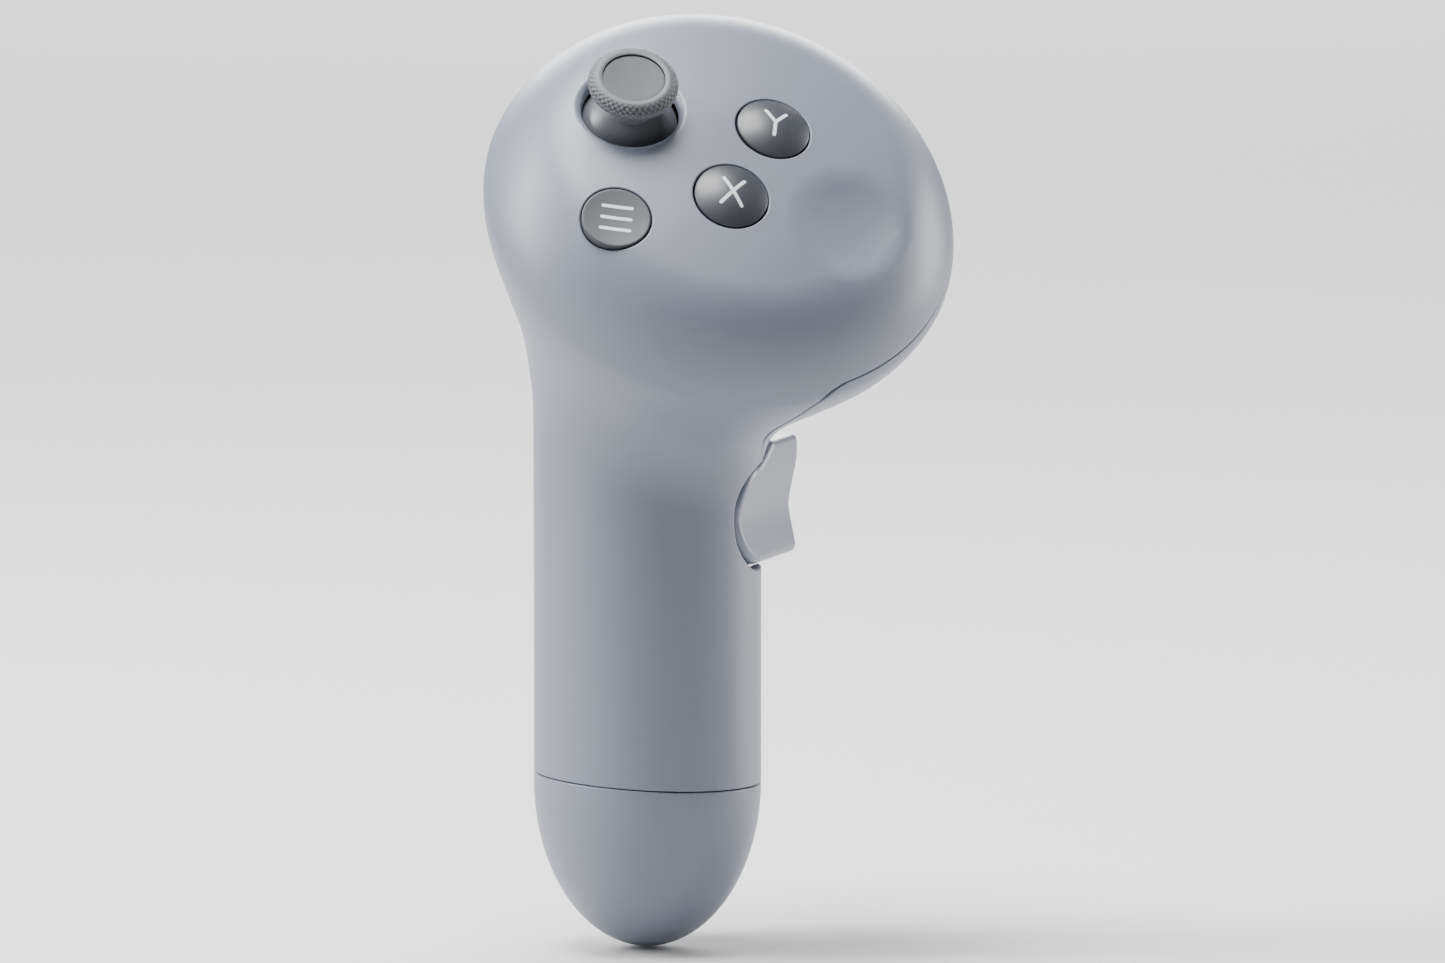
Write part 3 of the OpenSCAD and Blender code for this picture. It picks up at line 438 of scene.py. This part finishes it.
def thicken(bm, normalsOf, filletOf, depthOf, steps=4):  # adds a rounded edge, a wall and a back
    wish = bm.verts.layers.float_vector.new("wish")
    bm.verts.index_update()
    points = np.array([tuple(v.co) for v in bm.verts])
    outward = normalsOf(points)
    for v, n in zip(bm.verts, outward):
        v[wish] = n
    faces = bm.faces[:]
    edges = [e for e in bm.edges if e.is_boundary]
    aside = {}
    for e in edges:
        away = (e.verts[0].co + e.verts[1].co) / 2 - e.link_faces[0].calc_center_median()
        line = e.verts[1].co - e.verts[0].co
        for v in e.verts:
            n = v[wish]
            side = line.cross(n)
            side = side if side.dot(away) > 0 else -side
            aside[v] = aside.get(v, Vector()) + side
    rim = {v: (v.co.copy(), v[wish].copy(), (s - s.dot(v[wish]) * v[wish]).normalized())
           for v, s in aside.items()}
    back = bmesh.ops.duplicate(bm, geom=faces)["vert_map"]
    owner = {v: v for v in rim}
    current = edges
    for k in range(1, steps + 2):
        grown = bmesh.ops.extrude_edge_only(bm, edges=current)["geom"]
        fresh = [g for g in grown if isinstance(g, bmesh.types.BMVert)]
        newOwner = {}
        for v in fresh:
            source = next(e.other_vert(v) for e in v.link_edges if e.other_vert(v) in owner)
            newOwner[v] = owner[source]
        for v, first in newOwner.items():
            co, n, side = rim[first]
            f = filletOf(co)
            a = math.pi / 2 * min(k / steps, 1)
            drop = f * (1 - math.cos(a)) if k <= steps else max(depthOf(co), f + 0.05)
            v.co = co + side * f * math.sin(a) - n * drop
            v[wish] = (n * math.cos(a) + side * math.sin(a)).normalized()
        owner = newOwner
        current = [g for g in grown if isinstance(g, bmesh.types.BMEdge)
                   and g.verts[0] in newOwner and g.verts[1] in newOwner]
    last = {first: v for v, first in owner.items()}
    for v in {back[v] for f in faces for v in f.verts}:
        v.co = v.co - v[wish] * max(depthOf(v.co), 0.3)
        v[wish] = -v[wish]
    for e in edges:
        a, b = e.verts
        bm.faces.new((last[a], last[b], back[b], back[a]))
    bmesh.ops.recalc_face_normals(bm, faces=bm.faces)
    return wish


skinPlan = {"around": 208, "tip": 26, "tube": 40, "neck": 42, "over": 56, "joinZ": 26.0, "coneFrom": 85.0,
            "coneTo": 176.0, "slack": 0.2}


def unit(rows):
    return rows / np.linalg.norm(rows, axis=1, keepdims=True)


def skinRings(angles):
    plan, s = skinPlan, bodyShape
    flat = np.stack([np.cos(angles), np.sin(angles), np.zeros_like(angles)], 1)
    up = np.array([0, 0, 1.0])
    rings = []
    for i in range(1, plan["tip"] + 1):
        t = math.pi / 2 * (i / plan["tip"] - 1)
        ray = s["handleR"] * math.cos(t) * flat + s["endLen"] * math.sin(t) * up
        rings.append(cast(np.array([0, 0, s["endZ"]]), unit(ray)))
    for i in range(1, plan["tube"] + 1):
        z = s["endZ"] + (plan["joinZ"] - s["endZ"]) * i / plan["tube"]
        rings.append(cast(np.array([0, 0, z]), flat))
    join = unit(rings[-1] - headC)
    cos, sin = np.cos(angles)[:, None], np.sin(angles)[:, None]
    fan = lambda polar: math.sin(polar) * (cos * headU + sin * headV) - math.cos(polar) * headN
    first, last = math.radians(plan["coneFrom"]), math.radians(plan["coneTo"])
    for i in range(1, plan["neck"] + 1):
        k = i / plan["neck"]
        rings.append(castOut(unit((1 - k) * join + k * fan(first))))
    for i in range(1, plan["over"] + 1):
        rings.append(castOut(unit(fan(first + (last - first) * i / plan["over"]))))
    return rings


def wholeSkin():
    bm = bmesh.new()
    around = skinPlan["around"]
    rings = skinRings(np.arange(around) * math.tau / around)
    bmesh.ops.create_uvsphere(bm, u_segments=around, v_segments=len(rings) + 1, radius=1)
    poles = [np.array([0, 0, bodyShape["endZ"] - bodyShape["endLen"]]), castOut(headN[None])[0]]
    for v in bm.verts:
        level = round((1 - math.acos(max(-1, min(1, v.co.z))) / math.pi) * (len(rings) + 1))
        if level in (0, len(rings) + 1):
            v.co = poles[level > 0]
        else:
            v.co = rings[level - 1][round(math.atan2(v.co.y, v.co.x) / math.tau * around) % around]
    bmesh.ops.recalc_face_normals(bm, faces=bm.faces)
    return bm


cuts = {"buttonR": 5.4, "menuR": 5.0, "wellR": 7.05, "holeEdge": 0.25, "wellEdge": 1.0, "seamEdge": 0.22,
        "seamGap": 0.12, "openEdge": 0.35, "openGap": 0.35, "pillGap": 0.2, "leverRoom": 0.55,
        "screwR": 2.1, "screwEdge": 0.15}
coverPlan = {"rise": 2, "turn": -12, "sideAt": (28, -14.9, 0), "low": 28.7, "slopeAt": 1.4, "slope": -0.56,
             "corner": 5.0, "screws": [(18, -3), (-15, 18.6)]}
leverHole = {"at": (1.8, 21.7), "r": 6.85, "top": 31.6, "low": 14.8, "far": 17}
triggerHole = {"pin": (9.5, 66.5), "swing": 23.85, "half": 7.5, "back": 4, "top": 69.2}
toX = Matrix(((0, 0, 1, 0), (1, 0, 0, 0), (0, 1, 0, 0), (0, 0, 0, 1)))  # x, y, z become y, z, x


def coverSpace(grow):
    plan = coverPlan
    turn = math.radians(plan["turn"])
    side = Vector((math.cos(turn), math.sin(turn), 0))
    seam = Vector(headC + plan["rise"] * headN)
    block = halfSpaces([
        (seam, tuple(headN)),
        (Vector(plan["sideAt"]), (side.y, -side.x, 0)),
        (Vector((0, 0, plan["low"])), (0, 0, -1)),
        (Vector((0, plan["slopeAt"], plan["low"])), (0, plan["slope"], -1)),
    ], grow)
    corners = [e for e in block.edges if all(f.normal.dot(Vector(n)) < 0.999 for f in e.link_faces for n in
                                             ((1, 0, 0), (-1, 0, 0), (0, 1, 0), (0, 0, 1)))]
    bmesh.ops.bevel(block, geom=corners, offset=plan["corner"], segments=8, profile=0.5, affect="EDGES",
                    clamp_overlap=True)
    return block


def leverOutline(grow, room=0.0, steps=40):  # room is the extra space under its lower edge
    hole = leverHole
    at, r = hole["at"], hole["r"] + grow
    top, low, far = hole["top"] + grow, hole["low"] - grow - room, hole["far"] + grow
    upper = [math.pi / 2 * i / steps for i in range(steps + 1)]
    arc = [(at[0] - r * math.sin(a), at[1] + r * math.cos(a)) for a in upper]
    arc += [(at[0] - r * math.cos(a), at[1] - room - r * math.sin(a)) for a in upper]
    return [(far, low), (far, top), (at[0] + 6, top)] + arc


def leverCutter(grow):
    return prism(leverOutline(grow, cuts["leverRoom"]), 8.9, 29, leverFrame @ toX)


def triggerCutter(grow):
    hole = triggerHole
    (y0, z0), top = hole["pin"], hole["top"] + grow
    r, half = hole["swing"] + grow, hole["half"] + grow
    low = [(y0 + r * math.sin(a), z0 - r * math.cos(a)) for a in
           [math.radians(-13 + 88 * i / 40) for i in range(41)]]
    outline = [(hole["back"], top)] + [(y, z) for y, z in low if z < top] + [(y0 + r, top)]
    return prism(outline, -half, half, triggerFrame @ toX)


def underFrame(at):  # on the underside of the head, along the head's own axis
    m = np.eye(4)
    m[:3, :3] = np.stack([headU, headV, headN], 1)
    m[:3, 3] = headC + at[0] * headU + at[1] * headV - faceHeight(at) * headN
    return Matrix(m.tolist())


screwFrames = [underFrame(at) for at in coverPlan["screws"]]


def openSkin(edges):
    holes = {"x": cuts["buttonR"], "y": cuts["buttonR"], "menu": cuts["menuR"]}
    bm = wholeSkin()
    for name, r in holes.items():
        carve(bm, roundHole(frames[name], r + cuts["holeEdge"]), "DIFFERENCE")
    carve(bm, roundHole(frames["stick"], cuts["wellR"] + cuts["wellEdge"]), "DIFFERENCE")
    if edges:
        for matrix in screwFrames:
            carve(bm, roundHole(matrix, cuts["screwR"] + cuts["screwEdge"]), "DIFFERENCE")
        carve(bm, leverCutter(cuts["openGap"] + cuts["openEdge"]), "DIFFERENCE")
        carve(bm, triggerCutter(cuts["openGap"] + cuts["openEdge"]), "DIFFERENCE")
    return bm


def edgeRound(co):
    q = Vector(frames["stick"].inverted() @ co)
    if math.hypot(q.x, q.y) < cuts["wellR"] + 2:
        return cuts["wellEdge"]
    for name, r in (("x", cuts["buttonR"]), ("y", cuts["buttonR"]), ("menu", cuts["menuR"])):
        q = frames[name].inverted() @ co
        if math.hypot(q.x, q.y) < r + 1:
            return cuts["holeEdge"]
    for matrix in screwFrames:
        q = matrix.inverted() @ co
        if math.hypot(q.x, q.y) < cuts["screwR"] + 1 and abs(q.z) < 6:
            return cuts["screwEdge"]
    onLever = leverFrame.inverted() @ co
    if onLever.x > 5 and -7 < onLever.y < 19.5 and 13 < onLever.z < 33:
        return cuts["openEdge"]
    onTrigger = triggerFrame.inverted() @ co
    if onTrigger.y > 4 and abs(onTrigger.x) < 9 and 40 < onTrigger.z < 71:
        return cuts["openEdge"]
    return cuts["seamEdge"]


capSeam = Matrix.Rotation(math.radians(15), 4, "Z") @ Matrix.Translation((0, 0, -15.8)) @ \
    Matrix.Rotation(math.radians(3), 4, "Y")


def capCut(bm, above, grow):
    n = capSeam.to_3x3() @ Vector((0, 0, 1))
    bmesh.ops.bisect_plane(bm, geom=bm.verts[:] + bm.edges[:] + bm.faces[:], dist=1e-4,
                           plane_co=capSeam.translation + n * grow, plane_no=n,
                           clear_inner=above, clear_outer=not above)


def shellFrom(bm):
    keepSurface(bm, bodyField, skinPlan["slack"])
    return thicken(bm, bodyNormals, edgeRound, lambda co: bodyShape["wall"])


greyShell = (0.150, 0.165, 0.202)
shellPlastic = mouldedPlastic("shell plastic", greyShell, 0.42, 0.3)
coverPlastic = mouldedPlastic("cover plastic", greyShell, 0.40, 0.28)
leverPlastic = mouldedPlastic("lever plastic", greyShell, 0.36, 0.22)

print("main shell")
grow = cuts["seamGap"] / 2 + cuts["seamEdge"]
bm = openSkin(True)
carve(bm, coverSpace(grow), "DIFFERENCE")
capCut(bm, True, grow)
wish = shellFrom(bm)
finishPiece("mainShell", bm, Matrix(), shellPlastic, "root", ["main_shell"], wish=wish)

print("front cover")
bm = openSkin(True)
carve(bm, coverSpace(-grow), "INTERSECT")
wish = shellFrom(bm)
finishPiece("frontCover", bm, Matrix(), coverPlastic, "root", ["front_cover"], wish=wish)

print("battery cap")
capPlan = {
    "collar": [(12.4, -18.0), (13.85, -18.0), (13.85, -11.3), (13.6, -11.0), (12.65, -11.0), (12.4, -11.25)],
    "pillHalf": 2, "pillR": 2, "pillTurn": 31, "pillZ": -23.2,
}
bm = wholeSkin()
capCut(bm, False, -grow)
pillR = capPlan["pillR"] + cuts["pillGap"] + cuts["seamEdge"]
pill = [(side * (capPlan["pillHalf"] + pillR * math.cos(a)), side * pillR * math.sin(a))
        for side in (1, -1) for a in np.linspace(-math.pi / 2, math.pi / 2, 17)]
releaseFrame = Matrix.Rotation(math.radians(capPlan["pillTurn"]), 4, "Z") @ \
    Matrix.Translation((0, 0, capPlan["pillZ"])) @ toX
carve(bm, prism(pill, 10, 30, releaseFrame), "DIFFERENCE")
wish = shellFrom(bm)
collar = spun(capPlan["collar"] + capPlan["collar"][:1], 96)
finishPiece("batteryCap", bm, Matrix(), shellPlastic, "cap", ["battery_cap"], wish=wish)
finishPiece("capCollar", collar, Matrix(), shellPlastic, "cap", ["battery_cap"])

print("grip lever")
leverPlan = {"face": 15.3, "bulge": 1.25, "midZ": 21.5, "half": 7.2, "round": 1.1, "depth": 3.2, "rows": 44,
             "columns": 40, "hubAt": (10.2, 0, 33.6), "hub": (0.79, 2.2), "hubY": (-1.2, 1.1), "inset": 0.02,
             "crease": 0.45, "arcShare": 0.72, "slant": 5.2}


def leverHeight(z):
    t = np.minimum(np.abs(z - leverPlan["midZ"]) / leverPlan["half"], 1)
    sharp = leverPlan["crease"]
    return leverPlan["face"] + leverPlan["bulge"] * ((1 - sharp) * (1 - np.cos(t * math.pi)) / 2 + sharp * t)


def leverNormals(p):  # in the lever's own frame
    slope = (leverHeight(p[:, 2] + 0.05) - leverHeight(p[:, 2] - 0.05)) / 0.1
    return unit(np.stack([np.ones(len(p)), np.zeros(len(p)), -slope], 1))


def leverFace():
    plan = leverPlan
    (y0, z0), share = leverHole["at"], plan["arcShare"]
    r = leverHole["r"] - plan["round"]
    bm = bmesh.new()
    bmesh.ops.create_grid(bm, x_segments=plan["columns"], y_segments=plan["rows"], size=1)
    for v in bm.verts:
        s, t = (v.co.x + 1) / 2, (v.co.y + 1) / 2
        if t < share:
            a = math.pi * (1 - t / share)
            z, left = z0 + r * math.cos(a), y0 - r * math.sin(a)
        else:
            k = (t - share) / (1 - share)
            z, left = z0 + r + (leverHole["top"] - plan["round"] - z0 - r) * k, y0 + plan["slant"] * k
        y = left + (leverHole["far"] - plan["round"] - left) * s
        v.co = (float(leverHeight(np.array(z))) - plan["inset"], y, z)
    bmesh.ops.recalc_face_normals(bm, faces=bm.faces)
    return bm


bm = leverFace()
wish = thicken(bm, leverNormals, lambda co: leverPlan["round"], lambda co: leverPlan["depth"], 6)
bmesh.ops.transform(bm, matrix=leverFrame, verts=bm.verts)
for v in bm.verts:
    v[wish] = leverFrame.to_3x3() @ v[wish]
finishPiece("gripLever", bm, Matrix(), leverPlastic, "grip", ["grip_lever"], wish=wish)
hubIn, hubOut = leverPlan["hub"]
hubLow, hubHigh = leverPlan["hubY"]
bm = spun(softCorners([(hubIn, hubLow, 0), (hubOut, hubLow, 0.2), (hubOut, hubHigh, 0.2), (hubIn, hubHigh, 0),
                       (hubIn, hubLow, 0)]), 48)
hubFrame = leverFrame @ Matrix.Translation(leverPlan["hubAt"]) @ Matrix.Rotation(-math.pi / 2, 4, "X")
finishPiece("leverHub", bm, hubFrame, leverPlastic, "grip", ["grip_lever"])

print("index trigger")
triggerPlan = {
    "points": [(13, 69), (18, 67.8), (20.2, 65.6), (21.5, 62.6), (22, 59.6), (21.7, 56.6), (20.9, 53.6),
               (20.5, 50.8), (20.9, 48.4), (21.8, 46.9)],
    "heel": [(12.1, 46.2), (12.2, 52), (10.6, 57.5), (8.2, 61.5), (7.1, 66.5), (9.5, 68.9)],
    "pin": (9.5, 66.5), "swing": 23.8, "half": 7.5, "round": 1.4, "crown": 0.35,
}


def smoothLoop(points, steps):  # a Catmull-Rom curve through a closed loop of points
    out, n = [], len(points)
    for i in range(n):
        a, b, c, d = (Vector(points[(i + k) % n]) for k in (-1, 0, 1, 2))
        for k in range(steps):
            t = k / steps
            out.append((2 * b + (c - a) * t + (2 * a - 5 * b + 4 * c - d) * t * t +
                        (3 * b - a - 3 * c + d) * t ** 3) / 2)
    return out


def triggerLoop():
    plan = triggerPlan
    arc = [(plan["pin"][0] + plan["swing"] * math.sin(a), plan["pin"][1] - plan["swing"] * math.cos(a))
           for a in [math.radians(30 - 23 * i / 8) for i in range(9)]]
    loop = smoothLoop(plan["points"] + arc + plan["heel"], 4)
    if sum(a.x * b.y - b.x * a.y for a, b in zip(loop, loop[1:] + loop[:1])) < 0:
        loop.reverse()
    return loop


def triggerBlock():
    plan = triggerPlan
    loop = triggerLoop()
    n = len(loop)
    outward = []
    for i in range(n):
        line = (loop[(i + 1) % n] - loop[i - 1]).normalized()
        outward.append(Vector((line.y, -line.x)))
    stations = []
    for i in range(8):
        a = math.pi / 2 * i / 7
        stations.append((-plan["half"] + plan["round"] * (1 - math.cos(a)),
                         plan["round"] * (1 - math.sin(a))))
    for i in range(1, 12):
        x = -plan["half"] + plan["round"] + 2 * (plan["half"] - plan["round"]) * i / 12
        stations.append((x, 0.0))
    stations += [(-x, inset) for x, inset in stations[7::-1]]
    bm = bmesh.new()
    rows = []
    for x, inset in stations:
        crown = plan["crown"] * (x / plan["half"]) ** 2
        rows.append([])
        for p, out in zip(loop, outward):
            front = max(0.0, min(1.0, (p.x - 12) / 6)) * max(out.x, 0)
            q = p - out * (inset + crown * front)
            rows[-1].append(bm.verts.new((x, q.x, q.y)))
    first = bm.faces.new(rows[0])
    last = bm.faces.new(rows[-1])
    loops = [[bm.edges.get((row[i], row[(i + 1) % n])) or bm.edges.new((row[i], row[(i + 1) % n]))
              for i in range(n)] for row in rows]
    for low, high in zip(loops, loops[1:]):
        bmesh.ops.bridge_loops(bm, edges=low + high)
    bmesh.ops.recalc_face_normals(bm, faces=bm.faces)
    return bm


def rod(r, x0, x1, at):  # a closed cylinder along X at (y, z)
    bm = bmesh.new()
    bmesh.ops.create_cone(bm, cap_ends=True, segments=48, radius1=r, radius2=r, depth=x1 - x0)
    along = Matrix.Translation(((x0 + x1) / 2, *at)) @ Matrix.Rotation(math.pi / 2, 4, "Y")
    bmesh.ops.transform(bm, matrix=along, verts=bm.verts)
    return bm


bm = triggerBlock()
carve(bm, rod(0.85, -9, 9, triggerPlan["pin"]), "DIFFERENCE")
carve(bm, rod(3.4, 1, 5, triggerPlan["pin"]), "DIFFERENCE")
finishPiece("indexTrigger", bm, triggerFrame, leverPlastic, "trigger", ["index_trigger"], sharp=32)

print("buttons")
buttonDark = (0.030, 0.033, 0.041)
buttonPlan = {
    "X": {"frame": "x", "r": 5.2, "rise": 1.3, "flange": 2.7, "stem": 5.84, "body": "button_x",
          "node": "button_x"},
    "Y": {"frame": "y", "r": 5.2, "rise": 1.3, "flange": 2.7, "stem": 5.94, "body": "button_y",
          "node": "button_y"},
    "Menu": {"frame": "menu", "r": 4.8, "rise": 0.0, "flange": 3.55, "stem": 4.42, "body": "menu",
             "node": "menu_button"},
}
half, wide = legend["height"] / 2, legend["wide"] / 2
glyphs = {
    "X": [(-wide, -half, wide, half), (-wide, half, wide, -half)],
    "Y": [(0, -half, 0, 0.1), (0, 0.1, wide, half), (0, 0.1, -wide, half)],
    "Menu": [(-legend["bar"] / 2, k * legend["pitch"], legend["bar"] / 2, k * legend["pitch"])
             for k in (-1, 0, 1)],
}


def buttonProfile(plan):
    r, rise, flange = plan["r"], plan["rise"], plan["flange"]
    below = [(r, -flange - 0.02, 0.1), (r + 0.9, -flange, 0.1), (r + 0.9, -flange - 0.8, 0.1),
             (2.4, -flange - 0.8, 0.1), (2.4, -plan["stem"], 0.1), (0, -plan["stem"], 0)]
    if rise:
        ball = (r * r + rise * rise) / (2 * rise)
        reach = r - 0.35
        top = [(reach * i / 20, rise - ball + math.sqrt(ball ** 2 - (reach * i / 20) ** 2), 0)
               for i in range(21)]
        rim = [(r - 0.04, top[-1][1] - 0.16, 0.14)]
    else:
        reach = r - 0.3
        top = [(reach * i / 20, -0.16 + 0.15 * (i / 20) ** 2, 0) for i in range(21)]
        rim = [(r, 0.0, 0.16)]
    return softCorners(top + rim + below, 4)


for name, plan in buttonPlan.items():
    marked = markedPlastic("button " + name, buttonDark, 0.42 if plan["rise"] else 0.55,
                           frames[plan["frame"]], glyphs[name])
    finishPiece("button" + name, spun(buttonProfile(plan), 96), frames[plan["frame"]], marked,
                plan["body"], [plan["node"]], sharp=40)

print("stick")
stickPlan = {"r": 6.35, "tube": 1.45, "top": 6.0, "around": 44, "rows": 5, "groove": 0.32, "steps": 308,
             "neck": 3.7, "bottom": 2.6, "floor": 5.25, "shaft": 1.52, "inner": 4.3}


def knurlDepth(azimuth, along):
    a = stickPlan["around"] * azimuth / 2
    b = math.pi * stickPlan["rows"] * along
    near = min(abs(math.sin(a + b)), abs(math.sin(a - b)))
    fade = min(1.0, 6 * along * (1 - along))
    return stickPlan["groove"] * fade * (1 - min(near / 0.42, 1)) ** 1.2


def stickCapMesh():
    plan = stickPlan
    tubeR, topZ = plan["tube"], plan["top"]
    mid = plan["r"] - tubeR
    profile = [(plan["shaft"], plan["inner"]), (plan["shaft"], plan["bottom"]),
               (plan["neck"], plan["bottom"])]
    arcSteps = 34
    for i in range(arcSteps + 1):
        a = math.radians(-90 + 200 * i / arcSteps)
        profile.append((mid + tubeR * math.cos(a), topZ - tubeR + tubeR * math.sin(a)))
    dip = [profile[-1] + (0,), (4.62, plan["floor"] + 0.02, 0.16), (4.0, plan["floor"], 0)]
    profile += softCorners(dip, 3)[1:]
    profile += [(0, plan["floor"]), (0, plan["inner"]), (plan["shaft"], plan["inner"])]
    bm = spun(profile, plan["steps"])
    for v in bm.verts:
        r = math.hypot(v.co.x, v.co.y)
        h = v.co.z - (topZ - tubeR)
        if r < mid - 0.2 or abs(math.hypot(r - mid, h) - tubeR) > 0.01:
            continue
        along = (math.degrees(math.atan2(h, r - mid)) + 90) / 170
        if 0 <= along <= 1:
            d = knurlDepth(math.atan2(v.co.y, v.co.x), along)
            out = Vector((v.co.x / r * (r - mid), v.co.y / r * (r - mid), h)) / tubeR
            v.co -= out * d
    return bm


capRubber = rubberLook("stick rubber", (0.085, 0.089, 0.099), 0.5)
finishPiece("stickCap", stickCapMesh(), frames["stick"], capRubber, "stick",
            ["stick_cap"], sharp=60)
inlayPlan = {"r": 4.4, "high": 0.42, "dish": 0.18, "dishR": 3.9}
high, dish = inlayPlan["high"], inlayPlan["dish"]
inlay = [(0, high - dish, 0)]
inlay += [(inlayPlan["dishR"] * i / 10, high - dish * (1 - (i / 10) ** 2), 0) for i in range(1, 11)]
inlay += [(inlayPlan["r"], high, 0.15), (inlayPlan["r"], 0, 0.05), (0, 0, 0)]
bm = spun(softCorners(inlay, 4), 96)
finishPiece("stickInlay", bm, frames["stick"] @ Matrix.Translation((0, 0, stickPlan["floor"])),
            rubberLook("stick inlay", (0.062, 0.066, 0.075), 0.62), "stick",
            ["stick_inlay"], sharp=40)

print("inner parts")
steel = metalLook("steel", (0.62, 0.63, 0.65), 0.28)
springSteel = metalLook("spring steel", (0.70, 0.70, 0.72), 0.22)
nickel = metalLook("nickel", (0.66, 0.64, 0.60), 0.24)
copper = metalLook("copper", (0.80, 0.45, 0.25), 0.3)
framePlastic = mouldedPlastic("frame plastic", (0.11, 0.115, 0.125), 0.5, 0.4)
blackPlastic = mouldedPlastic("black plastic", (0.028, 0.029, 0.032), 0.42, 0.3)
whitePlastic = mouldedPlastic("white plastic", (0.72, 0.72, 0.69), 0.45, 0.25)
stickPlastic = mouldedPlastic("stick plastic", (0.10, 0.105, 0.12), 0.3, 0.1)
sealRubber = rubberLook("seal rubber", (0.03, 0.03, 0.033), 0.6)
silicone = rubberLook("silicone", (0.50, 0.52, 0.54), 0.55)
boards = boardLook("boards")
releasePlastic = mouldedPlastic("release plastic", tone(greyShell, 0.93)[:3], 0.42, 0.3)
innerLooks = {
    "cap_seal": sealRubber, "cap_release": releasePlastic, "release_spring": springSteel,
    "battery_spring": springSteel, "battery_tube": framePlastic, "battery_cell": cellLook("cell"),
    "battery_contact": nickel, "grip_pin": steel, "grip_spring": springSteel, "grip_magnet": nickel,
    "grip_bracket": framePlastic, "sensor_board": boards, "hall_sensors": blackPlastic, "trigger_pin": steel,
    "trigger_spring": springSteel, "trigger_magnet": nickel, "trigger_bracket": framePlastic,
    "button_mat": silicone, "button_board": boards, "chassis": framePlastic, "main_board": boards,
    "stick_dome": stickPlastic, "stick_shaft": steel, "stick_yoke": steel, "stick_carrier": whitePlastic,
    "stick_spring": springSteel, "click_switch": blackPlastic, "stick_housing": blackPlastic,
    "touch_pad": copper, "led_flex": copper, "tracking_leds": blackPlastic, "haptic_motor": steel,
    "haptic_cradle": framePlastic, "shell_screws": steel, "cover_screws": steel, "board_screws": steel,
}
for node, finish in innerLooks.items():
    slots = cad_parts[node].data.materials
    slots.clear()
    slots.append(finish)


print("studio")
stage = {"floor": 6.0, "paper": (0.56, 0.562, 0.566, 1), "away": 2.0, "lens": 353.5,
         "azimuth": 15.0, "elevation": 7.0, "shiftRight": 10.55, "shiftUp": 65.33, "base": -40.0,
         "behind": 2.2}
floorZ = stage["base"] * mm
floorMesh = bmesh.new()
bmesh.ops.create_grid(floorMesh, x_segments=2, y_segments=2, size=stage["floor"] / 2)
bmesh.ops.translate(floorMesh, vec=(0, 0, floorZ - 0.0002), verts=floorMesh.verts)
floor = asObject(floorMesh, "floor")
paper = Paint("paper")
paper.set(Base_Color=paper.mix(paper.noise(2.0), stage["paper"], tone(stage["paper"], 0.98)), Roughness=0.9)
floor.data.materials.append(paper.material)

world = bpy.data.worlds.new("sky")
world.use_nodes = True
sky = world.node_tree.nodes["Background"]
sky.inputs["Color"].default_value = (0.9, 0.93, 1.0, 1)
sky.inputs["Strength"].default_value = 0.06
bpy.context.scene.world = world

az, el = math.radians(stage["azimuth"]), math.radians(stage["elevation"])
right = Vector((math.cos(az), math.sin(az), 0))
look = Vector((-math.sin(az) * math.cos(el), math.cos(az) * math.cos(el), -math.sin(el)))
up = right.cross(look)
target = Vector((0, 0, floorZ)) + right * stage["shiftRight"] * mm + up * stage["shiftUp"] * mm


def softbox(name, side, high, near, size, power, tint=(1, 1, 1), aim=None):
    lamp = bpy.data.lights.new(name, "AREA")
    lamp.shape, lamp.size, lamp.size_y = "RECTANGLE", size[0], size[1]
    lamp.energy, lamp.color = power, tint
    box = bpy.data.objects.new(name, lamp)
    box.location = target + right * side + up * high - look * near
    box.rotation_euler = ((aim or target) - box.location).to_track_quat("-Z", "Y").to_euler()
    bpy.context.scene.collection.objects.link(box)
    return box


softbox("keyBox", -0.95, 0.55, 0.12, (0.4, 0.9), 26.0)
softbox("rightBox", 0.85, 0.1, -0.4, (0.3, 0.9), 15.0)
softbox("topBox", -0.15, 0.95, 0.15, (0.6, 0.5), 27.0)
behind = Vector((0, 0, floorZ)) + Vector((look.x, look.y, 0)) * stage["behind"]
softbox("floorBox", 0, 1.5, -2.9, (2.5, 1.6), 190.0, aim=behind)

camera = bpy.data.cameras.new("camera")
camera.lens, camera.sensor_width = stage["lens"], 36
eye = bpy.data.objects.new("camera", camera)
eye.matrix_world = Matrix.Translation(target - look * stage["away"]) @ \
    Matrix((right, up, -look)).transposed().to_4x4()
bpy.context.scene.collection.objects.link(eye)
bpy.context.scene.camera = eye
